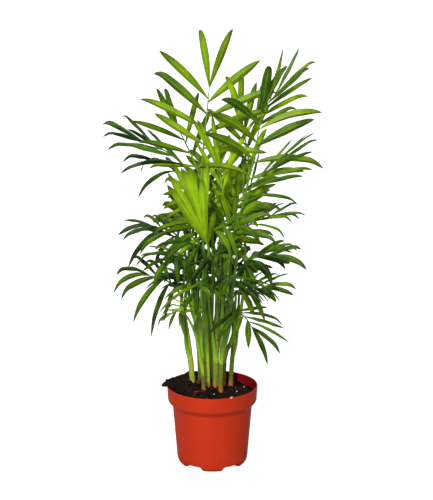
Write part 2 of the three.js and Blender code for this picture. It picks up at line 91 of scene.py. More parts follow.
# Each stem: where it leaves the mix (x, y), the way it leans and how far in degrees, its height, and its
# radius at the bottom.
STEM_TAPER = 0.35
STEMS = [
    (-23, 12, 175, 7, 112, 3.6), (-14, 34, 150, 5, 105, 3.1), (-6, 12, 185, 2, 125, 3.6),
    (4, 16, 60, 2, 125, 3.8), (13, 20, 0, 3, 108, 3), (22, 25, 20, 5, 100, 2.8),
    (10, 4, -60, 3, 95, 2.8), (-2, 30, 95, 4, 118, 3.2), (12, 36, 60, 6, 104, 3),
    (-14, 21, 140, 3, 118, 3.2), (-10, -2, 210, 4, 90, 2.6),
]
CANE_SIDES = 20
# How young and bright each cane is: 0 is old, 1 is young. These also hold painted light and shade: canes that
# the light falls on are set brighter, and canes that stand in shade are set darker.
CANE_TONES_WITH_PAINTED_LIGHT = (0.6, 0.5, 1, 0.42, 0.3, 0.15, 0.3, 1.1, 0.4, 0.2, 0.25)

# Each frond, in the order of FROND_KEYS: its stem; the height where its stalk leaves the stem; where its
# leafy rib starts and ends; how far the rib bows up; the way its upper face looks, around and up in degrees;
# its pairs of leaflets; their length and width; how far from the rib's direction the lowest and the highest
# side pairs point; their lift and their droop; and its tone, from 0 for old and dark to 1 for young and bright.
# The tone also holds painted shade: it is set lower for fronds at the back and inside the plant.
FROND_KEYS = (
    "stem", "fork", "x0", "y0", "h0", "x1", "y1", "h1", "bow", "around", "up",
    "pairs", "length", "width", "low", "high", "lift", "droop", "tone",
)
FRONDS = [SimpleNamespace(**dict(zip(FROND_KEYS, row))) for row in [
    (3, 58, -10, -6, 298, -3, 0, 367, 2, -90, 10, 5, 88, 9.5, 66, 45, 4, 0.1, 0.52),
    (9, 108, -17, 34, 266, -39, 38, 312, 3, -80, 20, 4, 70, 7, 60, 36, 6, 0.08, 0.48),
    (4, 98, 42, -8, 262, 56, -16, 341, 3, -72, 12, 5, 84, 10, 62, 46, 8, 0.22, 0.42),
    (5, 92, 48, 20, 318, 72, 26, 354, 3, -130, 34, 5, 76, 6.5, 34, 20, 0, 0.1, 0.5),
    (0, 104, -32, 20, 272, -80, 28, 300, 5, -50, 50, 5, 66, 7.5, 30, 16, 4, 0.12, 0.12),
    (1, 96, -42, 34, 262, -62, 40, 272, 3, -80, 66, 3, 60, 7, 48, 22, 6, 0.5, 0.18),
    (2, 116, -5, -32, 190, -11, -38, 213, 2, -94, 6, 5, 96, 9, 18, 5, 4, 0.02, 0.76),
    (3, 88, -3, -42, 204, 20, -60, 218, 4, -80, 60, 4, 58, 8, 66, 34, 6, 0.55, 0.48),
    (0, 84, -40, 12, 190, -68, 18, 200, 5, -95, 66, 5, 50, 7, 66, 34, 8, 0.46, 0.16),
    (0, 60, -42, -12, 134, -72, -24, 152, 5, -100, 50, 5, 58, 7, 74, 32, 6, 0.42, 0.18),
    (6, 60, 26, -34, 112, 45, -62, 102, 5, -64, 30, 5, 50, 7, 78, 34, 6, 0.26, 0.2),
    (6, 84, 28, -16, 128, 56, -28, 138, 4, -70, 56, 5, 52, 7, 70, 34, 6, 0.3, 0.32),
    (4, 76, 36, -22, 164, 62, -30, 176, 4, -76, 66, 4, 58, 9.5, 56, 28, 6, 0.34, 0.2),
    (5, 76, 38, 6, 200, 64, 12, 212, 4, -60, 80, 5, 54, 5.5, 56, 28, 6, 0.24, 0.24),
    (6, 92, 40, -14, 244, 68, -20, 277, 4, -150, 26, 5, 80, 5.5, 34, 20, -6, 0.16, 0.33),
    (7, 112, 12, -4, 246, 9, -6, 272, 1, -90, 10, 3, 84, 6, 14, 10, 4, 0.02, 0.83),
    (2, 92, 0, -8, 166, 6, -38, 178, 4, -86, 34, 5, 60, 8, 62, 34, 6, 0.3, 0.3),
    (9, 84, -26, -8, 168, -44, -34, 174, 4, -110, 40, 5, 58, 8, 62, 34, 6, 0.34, 0.32),
    (10, 70, -8, -44, 148, -16, -80, 150, 5, -96, 50, 5, 52, 7, 68, 34, 6, 0.36, 0.35),
    (10, 50, -36, -14, 106, -46, -20, 106, 2, -100, 60, 3, 20, 4, 60, 34, 4, 0.4, 0.52),
    (4, 60, 14, -26, 150, 26, -56, 154, 4, -60, 50, 5, 56, 7, 66, 34, 6, 0.36, 0.18),
    (7, 98, -8, 42, 200, -16, 60, 228, 5, 100, 40, 5, 58, 8.5, 62, 36, 6, 0.14, 0.26),
    (8, 96, 24, 42, 208, 34, 58, 240, 5, 70, 40, 5, 60, 8.5, 64, 36, 8, 0.12, 0.5),
    (8, 72, 12, 54, 178, 18, 80, 192, 5, 86, 60, 5, 52, 8.5, 66, 34, 6, 0.34, 0.28),
    (1, 76, -38, 48, 172, -58, 64, 182, 4, 130, 56, 4, 48, 8.5, 66, 34, 6, 0.34, 0.24),
    (5, 56, 42, 44, 150, 62, 58, 158, 4, 40, 56, 4, 46, 8.5, 66, 34, 6, 0.36, 0.26),
    (1, 52, -24, 56, 124, -40, 80, 126, 4, 120, 56, 5, 48, 7.5, 70, 34, 6, 0.36, 0.2),
    (8, 48, 22, 58, 112, 32, 82, 110, 4, 70, 56, 5, 48, 7.5, 70, 34, 6, 0.36, 0.24),
    (7, 80, 2, 38, 226, 6, 48, 262, 3, 90, 16, 5, 56, 8.5, 58, 38, 6, 0.08, 0.78),
    (9, 64, -26, 42, 180, -36, 66, 204, 4, 130, 46, 5, 56, 7.5, 60, 34, 6, 0.2, 0.42),
    (2, 70, -8, 8, 192, -26, 0, 214, 4, -84, 24, 5, 52, 8, 62, 36, 4, 0.16, 0.45),
    (3, 64, 12, 6, 184, 24, -4, 210, 4, -92, 26, 5, 60, 9, 62, 36, 4, 0.2, 0.46),
    (9, 94, -14, 4, 226, -28, -4, 246, 4, -100, 36, 5, 46, 7, 58, 34, 6, 0.22, 0.56),
    (4, 88, 22, 20, 206, 30, 24, 236, 4, -80, 20, 5, 50, 8, 58, 36, 6, 0.12, 0.52),
    (7, 56, -4, 28, 200, -8, 34, 234, 4, -94, 22, 5, 52, 8, 60, 38, 6, 0.1, 0.56),
    (2, 66, -10, -8, 102, -27, -20, 110, 2, -100, 60, 4, 34, 4.5, 64, 34, 6, 0.1, 1),
    (2, 104, -13, -39, 190, -21, -44, 194, 2, -100, 50, 2, 58, 7, 50, 30, 6, 0.6, 0.22),
    (5, 84, 43, 12, 274, 33, 8, 333, 3, -80, 14, 4, 66, 8, 36, 18, 4, 0.04, 0.76),
    (9, 60, -22, 34, 118, -26, 38, 168, 3, -90, 16, 6, 40, 9, 66, 36, 6, 0.2, 0.2),
    (7, 44, 4, 40, 116, 0, 44, 166, 3, -90, 16, 6, 42, 9, 66, 36, 6, 0.2, 0.22),
    (8, 44, 22, 42, 112, 26, 44, 160, 3, -90, 16, 6, 40, 9, 66, 36, 6, 0.2, 0.22),
]]

# How stalks and leaflets grow, as in the solid model.
CLEARANCE = 0.4
STALK_RADIUS = 2.2
RIB_RADIUS = 1.3
RIB_TIP_RADIUS = 0.8
STALK_LEAN = 0.2
FOOT_PULL = 0.4
RIB_PULL = 0.3
STALK_PLACES = np.array([0, 0.15, 0.35, 0.6, 0.8, 1])
LEAFLET_PLACES = np.array([0.22, 0.5, 0.8])
STALK_WAYS = [
    (turn, bow)
    for bow in (0, 6, -6, 12, -12, 18, -18, 26, -26, 34, -34)
    for turn in (0, 35, -35, 70, -70, 110, -110, 150, -150)
]
LEAFLET_WAYS = [(turn, lift) for lift in (0, 8, -8, 16, -16, 25, -25) for turn in (0, 8, -8, 16)]
LEAFLET_NECK = 1.5
TERMINAL_SPREAD = 0.22
# How near a corner of a solid has to be to a wanted point, to count as that point.
MATCH_ROOM = 0.08

UP = np.array([0.0, 0.0, 1.0])
ACROSS = np.array([1.0, 0.0, 0.0])


def linear(red, green, blue):
    """A display colour, 0 to 255, as scene-linear values."""
    share = np.array([red, green, blue]) / 255
    return tuple(np.where(share <= 0.04045, share / 12.92, ((share + 0.055) / 1.055) ** 2.4))


# ---- Sizes and colours ----


def colour(name, description, red, green, blue):
    return FloatVectorProperty(
        name=name, description=description, subtype="COLOR", size=3, min=0, max=1,
        default=linear(red, green, blue),
    )


def length(name, description, millimetres):
    return FloatProperty(
        name=name, description=description, unit="LENGTH", subtype="DISTANCE", min=0, precision=4,
        default=millimetres * MM,
    )


def share(name, description, value, top=1.0):
    return FloatProperty(name=name, description=description, subtype="FACTOR", min=0, max=top, default=value)


class PALM_PG_pot(bpy.types.PropertyGroup):
    """Sizes and colours of the pot"""

    outside: colour("Outside", "Colour of the moulded plastic", 178, 48, 22)
    # Painted shade: the inner wall is the same plastic as the outside, given a darker colour for the shade
    # inside the pot.
    inside: colour("Inside", "Colour of the shaded inner wall", 120, 16, 16)
    scuffed: colour("Scuffs", "Colour of rubbed and chalky marks", 226, 128, 96)
    dirt: colour("Dirt", "Colour of dust and splashed mix near the foot", 84, 34, 22)
    bend: length("Bend", "Radius of the bends in the wall", 1.6)
    sides: IntProperty(name="Sides", description="Steps around the pot", default=180, min=60, max=360)


class PALM_PG_mix(bpy.types.PropertyGroup):
    """Sizes and colours of the potting mix"""

    wet: colour("Wet", "Colour of the damp mix", 20, 11, 8)
    dry: colour("Dry", "Colour of the crumbs that have dried", 66, 38, 26)
    bark: colour("Bark", "Colour of the bark chips", 112, 58, 40)
    perlite: colour("Perlite", "Colour of the perlite", 226, 220, 208)
    lump: length("Lumps", "Height of the lumps in the surface", 1.6)
    crumbs: IntProperty(name="Crumbs", description="Loose crumbs on the surface", default=1500, min=0, max=4000)
    chips: IntProperty(name="Bark chips", description="Bark chips on the surface", default=60, min=0, max=300)
    grains: IntProperty(name="Perlite", description="Grains of perlite on top", default=22, min=0, max=200)


class PALM_PG_canes(bpy.types.PropertyGroup):
    """Sizes and colours of the canes"""

    fresh: colour("Fresh", "Colour of the young sheaths", 206, 222, 74)
    green: colour("Green", "Colour of the older cane", 92, 106, 26)
    base: colour("Base", "Colour of the woody base", 156, 100, 44)
    scar: colour("Scars", "Colour of the rings where leaves have dropped", 84, 66, 32)
    ring_gap: length("Ring gap", "Distance between the rings on a cane", 19)
    ring_height: length("Ring height", "How far a ring stands out", 0.22)


class PALM_PG_fronds(bpy.types.PropertyGroup):
    """Sizes and colours of the fronds"""

    oldest: colour("Oldest", "Colour of the darkest leaflets", 14, 38, 4)
    old: colour("Old", "Colour of mature leaflets", 60, 96, 10)
    young: colour("Young", "Colour of growing leaflets", 120, 152, 12)
    youngest: colour("Youngest", "Colour of the newest leaflets", 160, 204, 26)
    stalk: colour("Stalk", "Colour of the stalks and ribs", 112, 156, 46)
    tip: colour("Dry tip", "Colour of dried leaflet tips", 84, 62, 30)
    thickness: length("Thickness", "Thickness of a leaflet at its midrib", 0.5)
    fold: share("Fold", "How far a leaflet's halves fold down from its midrib", 0.6, 1.5)
    twist: FloatProperty(
        name="Twist", description="Greatest twist from a leaflet's root to its tip", unit="ROTATION",
        subtype="ANGLE", default=np.radians(26.0),
    )
    curl: length("Curl", "How far the tips of the leaflets curl down", 5)


class PALM_PG_stage(bpy.types.PropertyGroup):
    """Floor, light and camera"""

    floor: colour("Floor", "Colour of the floor", 180, 180, 178)
    glow: share("Glow", "Brightness that lifts the seen floor and sky to a plain white", 0.85, 5)
    sky: share("Sky", "Brightness of the light from all round", 0.15, 5)
    key: FloatProperty(name="Key", description="Strength of the main light", default=3.6, min=0)
    fill: FloatProperty(name="Fill", description="Strength of the light opposite", default=0.7, min=0)
    back: FloatProperty(name="Back", description="Strength of the light from behind", default=1.2, min=0)
    distance: length("Distance", "From the camera to the plant's axis", 1600)
    lens: FloatProperty(
        name="Lens", description="Focal length", unit="CAMERA", default=101.4, min=10,
    )


# ---- Small sums ----


def unit(vectors):
    return vectors / np.maximum(np.linalg.norm(vectors, axis=-1, keepdims=True), 1e-12)


def lerp(start, end, part):
    return start + (end - start) * part


def ease(value, low, high):
    """0 below low, 1 above high, and a smooth S between them: 3t^2 - 2t^3."""
    part = np.clip((value - low) / (high - low), 0, 1)
    return part * part * (3 - 2 * part)


def flatwise(vectors, along):
    """The part of each vector that lies square to along, at length 1."""
    return unit(vectors - np.sum(vectors * along, axis=-1, keepdims=True) * along)


def turn_round(count):
    """Angles spaced evenly around a turn."""
    return 2 * np.pi * np.arange(count) / count


def polar(radius, angle, height):
    """Points at a radius and an angle about Z, at a height."""
    points = np.broadcast_arrays(radius * np.cos(angle), radius * np.sin(angle), height)
    return np.stack(points, axis=-1)


def lattice_noise(x, y, seed):
    """Smooth noise from -1 to 1: random values at whole numbers, eased between the four around a point."""
    size = 64
    values = np.random.default_rng(seed).uniform(-1, 1, (size, size))
    left, low = np.floor(x).astype(int), np.floor(y).astype(int)
    across, up = ease(x - left, 0, 1), ease(y - low, 0, 1)
    corner = lambda i, j: values[(left + i) % size, (low + j) % size]
    return lerp(lerp(corner(0, 0), corner(1, 0), across), lerp(corner(0, 1), corner(1, 1), across), up)


# ---- Meshes ----


class Skins:
    """Closed skins gathered into one mesh, with values at the corners and a material for each face."""

    def __init__(self):
        self.corners, self.faces, self.slots, self.values, self.count = [], [], [], {}, 0

    def add(self, corners, faces, slot=0, **values):
        corners = corners.reshape(-1, 3)
        self.corners.append(corners)
        for group in faces:
            self.faces.extend((np.asarray(group) + self.count).tolist())
            self.slots.extend([slot] * len(group))
        for name, value in values.items():
            spread = np.broadcast_to(value, len(corners)) if np.ndim(value) == 0 else np.asarray(value).ravel()
            self.values.setdefault(name, []).append((self.count, spread))
        self.count += len(corners)

    def piece(self, name, materials, sharp=None):
        """The mesh as an object. Edges folded more than sharp degrees stay sharp."""
        mesh = bpy.data.meshes.new(name)
        mesh.from_pydata((np.concatenate(self.corners) * MM).tolist(), [], self.faces)
        for label, parts in self.values.items():
            filled = np.zeros(self.count, np.float32)
            for start, spread in parts:
                filled[start:start + len(spread)] = spread
            mesh.attributes.new(label, "FLOAT", "POINT").data.foreach_set("value", filled)
        for material in materials:
            mesh.materials.append(material)
        mesh.polygons.foreach_set("material_index", np.array(self.slots, np.int32))
        mesh.shade_smooth()
        if sharp:
            mesh.set_sharp_from_angle(angle=np.radians(sharp))
        mesh.update()
        made = bpy.data.objects.new(name, mesh)
        bpy.context.scene.collection.objects.link(made)
        return made


def tube_faces(tubes, rings, around):
    """Faces of tubes stored ring after ring: four-sided faces between rings, and one face at each end.
    Each ring runs anticlockwise, seen from ahead looking back."""
    first = (np.arange(tubes) * rings * around)[:, None, None]
    ring = (np.arange(rings - 1) * around)[None, :, None]
    side = np.arange(around)[None, None, :]
    near, next_side = first + ring + side, first + ring + (side + 1) % around
    quads = np.stack([near, next_side, next_side + around, near + around], axis=-1).reshape(-1, 4)
    loop = np.arange(around)[None, :]
    start = first[:, 0] + loop[:, ::-1]
    end = first[:, 0] + (rings - 1) * around + loop
    return [quads, start, end]


def tube(path, radii, around, reference):
    """A round tube: at each point of the path, a ring of the given radius, square to the path."""
    along = unit(np.gradient(path, axis=0))
    across = flatwise(reference, along)
    up = np.cross(along, across)
    angle = turn_round(around)
    spread = radii[:, None, None] if np.ndim(radii) == 1 else radii[:, :, None]
    round_it = np.cos(angle)[None, :, None] * across[:, None] + np.sin(angle)[None, :, None] * up[:, None]
    return path[:, None] + spread * round_it


def finished(made, slot, *nodes):
    """A piece that rides on the plant and stands for the named solids. The slot is not used."""
    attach(made, "root")
    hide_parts(*nodes)
    return made


# ---- Materials ----


class Shade:
    """The nodes of one material, world or node group: each step adds a node and gives its result."""

    def __init__(self, tree):
        self.tree = tree

    def node(self, kind, inputs=None, **settings):
        """A shader node with its settings; an input is a value or another node's socket."""
        made = self.tree.nodes.new("ShaderNode" + kind)
        for name, value in settings.items():
            setattr(made, name, value)
        for name, value in (inputs or {}).items():
            if isinstance(value, bpy.types.NodeSocket):
                self.tree.links.new(value, made.inputs[name])
            else:
                made.inputs[name].default_value = value
        return made

    def maths(self, operation, *values):
        return self.node("Math", dict(enumerate(values)), operation=operation).outputs[0]

    def plus(self, first, second):
        return self.maths("ADD", first, second)

    def times(self, first, second):
        return self.maths("MULTIPLY", first, second)

    def halved(self, wave):
        """A wave from -1 to 1, carried to 0 to 1."""
        return self.maths("MULTIPLY_ADD", wave, 0.5, 0.5)

    def blended(self, factor, first, second, way="MIX"):
        """One colour over another, by a factor."""
        first, second = (
            value if isinstance(value, bpy.types.NodeSocket) else (*value[:3], 1) for value in (first, second)
        )
        made = self.node("Mix", {0: factor, 6: first, 7: second}, data_type="RGBA", blend_type=way)
        return made.outputs[2]

    def over(self, base, tint, mask, amount):
        """A tint laid over a colour, by an amount of a mask."""
        return self.blended(self.times(mask, amount), base, tint)

    def ranged(self, value, low, high, start=0.0, end=1.0):
        """A value carried from low..high to start..end, with smooth ends."""
        inputs = {"Value": value, "From Min": low, "From Max": high, "To Min": start, "To Max": end}
        return self.node("MapRange", inputs, interpolation_type="SMOOTHSTEP").outputs[0]

    def noise(self, vector, scale, detail=3.0, roughness=0.55):
        inputs = {"Vector": vector, "Scale": scale, "Detail": detail, "Roughness": roughness}
        return self.node("TexNoise", inputs).outputs["Fac"]

    def value(self, name):
        """A value kept at the mesh's corners."""
        return self.node("Attribute", attribute_name=name).outputs["Fac"]

    def stretched(self, vector, *scale):
        return self.node("Mapping", {"Vector": vector, "Scale": scale}).outputs[0]

    def group(self, name, **inputs):
        return self.node("Group", inputs, node_tree=bpy.data.node_groups[name]).outputs

    def seen_glow(self, glow, rest):
        """A brightness that is glow where it is seen directly, and rest where it lights other things."""
        return self.ranged(self.node("LightPath").outputs["Is Camera Ray"], 0.0, 1.0, rest, glow)


class Finish(Shade):
    """A material with its main shader, and the object coordinates that its patterns follow."""

    def __init__(self, name, roughness, gloss):
        self.made = bpy.data.materials.new(name)
        self.made.use_nodes = True
        super().__init__(self.made.node_tree)
        self.tree.nodes.clear()
        self.shader = self.node("BsdfPrincipled", {"Roughness": roughness, "Specular IOR Level": gloss})
        self.tree.links.new(self.shader.outputs[0], self.node("OutputMaterial").inputs[0])
        self.place = self.node("TexCoord").outputs["Object"]

    def dressed(self, base, roughness, height, depth):
        """Joins the colour, the roughness and the bump to the main shader. Depth is in millimetres."""
        bump = self.node("Bump", {"Strength": 1.0, "Distance": depth * MM, "Height": height})
        for name, socket in (("Base Color", base), ("Roughness", roughness), ("Normal", bump.outputs[0])):
            self.tree.links.new(socket, self.shader.inputs[name])
        return self.made


def make_group(name, inputs, build):
    """A node group with vector (None) and number inputs. Build adds its nodes and gives its outputs by name."""
    tree = bpy.data.node_groups.new(name, "ShaderNodeTree")
    for label, start in inputs.items():
        kind = "NodeSocketVector" if start is None else "NodeSocketFloat"
        socket = tree.interface.new_socket(label, in_out="INPUT", socket_type=kind)
        if start is not None:
            socket.default_value = start
    outputs = build(Shade(tree), tree.nodes.new("NodeGroupInput").outputs)
    for label in outputs:
        tree.interface.new_socket(label, in_out="OUTPUT", socket_type="NodeSocketFloat")
    put = tree.nodes.new("NodeGroupOutput").inputs
    for label, socket in outputs.items():
        tree.links.new(socket, put[label])


def mottle(s, given):
    """Uneven growth: broad patches, and fine flecks within them. Scale is in patches per metre."""
    vector, scale = given["Vector"], given["Scale"]
    return {"Patches": s.noise(vector, scale, 2.0), "Flecks": s.noise(vector, s.times(scale, 14.0), 4.0)}


def leaf_veins(s, given):
    """A leaflet's midrib, parallel veins and margin. Across runs from -1 to 1 from edge to edge."""
    off = s.maths("ABSOLUTE", given["Across"])
    midrib = s.ranged(off, 0.05, 0.2, 1.0, 0.0)
    stripes = s.halved(s.maths("COSINE", s.times(s.times(off, given["Veins"]), 2 * np.pi)))
    height = s.plus(midrib, s.times(stripes, 0.22))
    return {"Midrib": midrib, "Stripes": stripes, "Margin": s.ranged(off, 0.86, 1.0), "Height": height}


def moulded_plastic(s, given):
    """Moulded plastic: rubbed scuffs, dust that gathers low down, and the grain and flow lines of the mould."""
    vector = given["Vector"]
    height = s.node("SeparateXYZ", {0: vector}).outputs[2]
    streaks = s.noise(s.stretched(vector, 60, 60, 900), 1.0, 5.0, 0.7)
    rubbed = s.times(s.ranged(s.noise(vector, 34.0, 2.0), 0.55, 0.7), s.ranged(streaks, 0.58, 0.7))
    specks = s.ranged(s.noise(vector, 520.0, 1.0), 0.7, 0.76)
    speckled = s.times(specks, s.ranged(height, 0.0, 0.045, 1.0, 0.15))
    grime = s.plus(s.noise(vector, 190.0, 4.0, 0.65), s.ranged(height, 0.0, 0.05, 0.16, 0.0))
    grain = s.noise(vector, 1900.0, 2.0)
    return {
        "Scuffs": s.maths("MAXIMUM", rubbed, s.times(speckled, 0.7)),
        "Dust": s.ranged(grime, 0.58, 0.78),
        "Flow": s.noise(s.stretched(vector, 26, 26, 5), 1.0, 2.0),
        "Height": s.plus(s.times(grain, 0.5), s.times(streaks, 0.3)),
    }


def plastic_material(looks):
    s = Finish("Pot plastic", 0.42, 0.05)
    wear = s.group("Moulded Plastic", Vector=s.place)
    # The inner wall takes the darker inside colour, a painted shade.
    base = s.blended(s.value("inner"), looks.outside, looks.inside)
    deeper = s.blended(1.0, base, (0.8, 0.72, 0.72), "MULTIPLY")
    base = s.over(base, deeper, s.ranged(wear["Flow"], 0.35, 0.65), 0.35)
    base = s.over(base, looks.scuffed, wear["Scuffs"], 0.25)
    base = s.over(base, looks.dirt, wear["Dust"], 0.2)
    rough = s.plus(s.maths("MULTIPLY_ADD", wear["Scuffs"], 0.2, 0.4), s.times(wear["Dust"], 0.25))
    return s.dressed(base, rough, wear["Height"], 0.05)


def mix_material(looks):
    s = Finish("Potting mix", 0.9, 0.1)
    damp = s.noise(s.place, 60.0, 4.0)
    fibres = s.noise(s.place, 700.0, 5.0, 0.7)
    dryness = s.times(s.ranged(damp, 0.42, 0.72), s.ranged(fibres, 0.4, 0.65))
    pale = s.ranged(s.noise(s.place, 1400.0, 2.0), 0.68, 0.74)
    base = s.over(s.blended(dryness, looks.wet, looks.dry), looks.bark, pale, 0.35)
    return s.dressed(base, s.ranged(damp, 0.4, 0.7, 0.72, 0.98), fibres, 0.7)


def bark_material(looks):
    s = Finish("Bark", 0.85, 0.3)
    grain = s.noise(s.stretched(s.place, 260, 1500, 700), 1.0, 4.0, 0.7)
    patches = s.noise(s.place, 160.0, 2.0)
    darker = s.blended(1.0, looks.bark, (0.32, 0.28, 0.28), "MULTIPLY")
    base = s.blended(s.ranged(grain, 0.35, 0.65), darker, looks.bark)
    base = s.blended(s.ranged(patches, 0.45, 0.7, 0.0, 0.55), base, looks.wet)
    return s.dressed(base, s.ranged(patches, 0.3, 0.7, 0.7, 0.95), grain, 0.5)


def perlite_material(looks):
    s = Finish("Perlite", 0.95, 0.3)
    pores = s.node("TexVoronoi", {"Vector": s.place, "Scale": 1700.0}).outputs["Distance"]
    stains = s.noise(s.place, 420.0, 3.0)
    base = s.blended(s.ranged(stains, 0.5, 0.75, 0.0, 0.6), looks.perlite, looks.bark)
    return s.dressed(base, s.ranged(stains, 0.3, 0.8, 0.85, 1.0), pores, 0.3)


def cane_material(looks):
    """Ribbed sheaths, yellow-green above and duller below, with a woody base and dark rings."""
    s = Finish("Cane", 0.5, 0.4)
    flecks = s.group("Mottle", Vector=s.place, Scale=90.0)["Flecks"]
    fibres = s.noise(s.stretched(s.place, 900, 900, 34), 1.0, 4.0, 0.6)
    ribs = s.halved(s.maths("SINE", s.times(s.value("around"), 26.0)))
    # The tone mixes each cane's age with painted light and shade.
    base = s.blended(s.ranged(s.value("tone"), 0.0, 1.0), looks.green, looks.fresh)
    darker = s.blended(1.0, base, (0.42, 0.5, 0.4), "MULTIPLY")
    base = s.over(base, darker, s.ranged(fibres, 0.42, 0.62), 0.7)
    base = s.over(base, darker, s.ranged(flecks, 0.48, 0.62), 0.85)
    wood = s.ranged(s.plus(s.value("height"), s.times(flecks, 8.0)), 9.0, 20.0, 1.0, 0.0)
    base = s.over(base, looks.base, wood, 0.85)
    base = s.over(base, looks.scar, s.value("scar"), 0.4)
    return s.dressed(base, s.ranged(fibres, 0.3, 0.7, 0.38, 0.62), s.plus(s.times(ribs, 0.5), fibres), 0.22)


def stalk_material(looks):
    """Stalks and ribs, darker on older fronds and, as painted shade, on fronds at the back and inside the
    plant, and bright where they leave the cane.
    """
    s = Finish("Stalk", 0.4, 0.4)
    patches = s.group("Mottle", Vector=s.place, Scale=120.0)["Patches"]
    fibres = s.noise(s.stretched(s.place, 1600, 1600, 60), 1.0, 3.0)
    dark = s.blended(1.0, looks.stalk, (0.28, 0.42, 0.4), "MULTIPLY")
    bright = s.blended(0.45, looks.stalk, looks.youngest)
    base = s.blended(s.ranged(s.value("tone"), 0.1, 0.9), dark, bright)
    base = s.over(base, dark, s.ranged(patches, 0.45, 0.7), 0.4)
    base = s.blended(s.ranged(s.value("along"), 0.0, 0.4, 0.75, 0.0), base, looks.youngest)
    return s.dressed(base, s.ranged(fibres, 0.3, 0.7, 0.32, 0.5), fibres, 0.12)


def leaf_material(looks):
    """Blades: tone by age, darker on fronds at the back and inside the plant as painted shade; paler beneath;
    paler along the midrib, partly its own colour and partly a painted highlight; darker at the edges as painted
    shade, and darker towards the tip.
    """
    s = Finish("Leaf", 0.42, 0.15)
    under = s.value("under")
    veins = s.group("Leaf Veins", Across=s.value("across"), Veins=6.0)
    mottled = s.group("Mottle", Vector=s.place, Scale=45.0)
    uneven = s.times(s.maths("SUBTRACT", mottled["Patches"], 0.5), 0.62)
    streak = s.times(s.maths("SUBTRACT", veins["Stripes"], 0.5), 0.1)
    shade = s.plus(s.plus(s.value("tone"), uneven), streak)
    # The midrib is paler: partly its own colour, partly a painted highlight.
    by_age = s.node("ValToRGB", {0: s.plus(shade, s.times(veins["Midrib"], 0.22))})
    stops = ((0.0, looks.oldest), (0.3, looks.old), (0.68, looks.young), (1.0, looks.youngest))
    for _ in stops[2:]:
        by_age.color_ramp.elements.new(0.5)
    for element, (place_on, tint) in zip(by_age.color_ramp.elements, stops):
        element.position = place_on
        element.color = (*tint, 1)
    base = by_age.outputs[0]
    base = s.over(base, s.blended(0.5, base, (0.15, 0.24, 0.03)), under, 0.6)
    flecks = s.times(s.ranged(mottled["Flecks"], 0.6, 0.72), 0.3)
    # Dark flecks, and painted shade along the edges of the blade.
    base = s.blended(s.maths("MAXIMUM", flecks, s.times(veins["Margin"], 0.45)), base, looks.oldest)
    base = s.blended(s.ranged(s.value("along"), 0.62, 1.0, 0.0, 0.55), base, looks.oldest)
    base = s.blended(s.value("dry"), base, looks.tip)
    rough = s.plus(s.ranged(mottled["Patches"], 0.3, 0.7, 0.3, 0.46), s.times(under, 0.16))
    return s.dressed(base, rough, veins["Height"], 0.22)


def floor_material(looks):
    s = Finish("Floor", 0.8, 0.2)
    base = s.blended(s.noise(s.place, 1.5, 2.0), looks.floor, [0.985 * value for value in looks.floor])
    s.tree.links.new(base, s.shader.inputs["Base Color"])
    s.shader.inputs["Emission Color"].default_value = (1, 1, 1, 1)
    s.tree.links.new(s.seen_glow(looks.glow, 0.0), s.shader.inputs["Emission Strength"])
    return s.made


# ---- Pot ----


def rounded(points, radius, steps=6):
    """The polyline with each inner corner turned into a curve: a quadratic bend that starts and ends radius
    from the corner, or halfway along a shorter side."""
    points = np.array(points, float)
    out = [points[:1]]
    part = np.linspace(0, 1, steps)[:, None]
    for before, corner, after in zip(points[:-2], points[1:-1], points[2:]):
        reach = min(radius, np.linalg.norm(corner - before) / 2, np.linalg.norm(after - corner) / 2)
        start = corner + reach * unit(before - corner)
        end = corner + reach * unit(after - corner)
        out.append(lerp(lerp(start, corner, part), lerp(corner, end, part), part))
    out.append(points[-1:])
    return np.concatenate(out)


def inside_radius(height):
    """The radius inside the pot's wall at a height."""
    outline = np.array(POT_OUTLINE)
    return np.interp(height, outline[:, 1], outline[:, 0]) - WALL


def arch_share(angle):
    """How far the foot is lifted at an angle: 0 on a foot, 1 in the middle of an arch, eased between."""
    step = 2 * np.pi / FOOT_COUNT
    off = np.abs((angle + np.pi / 2 + np.pi) % (2 * np.pi) - np.pi)
    off = np.abs((off + step / 2) % step - step / 2)
    half = np.radians(FOOT_ARC / 2)
    return ease(off, half - 0.03, half + 0.07)


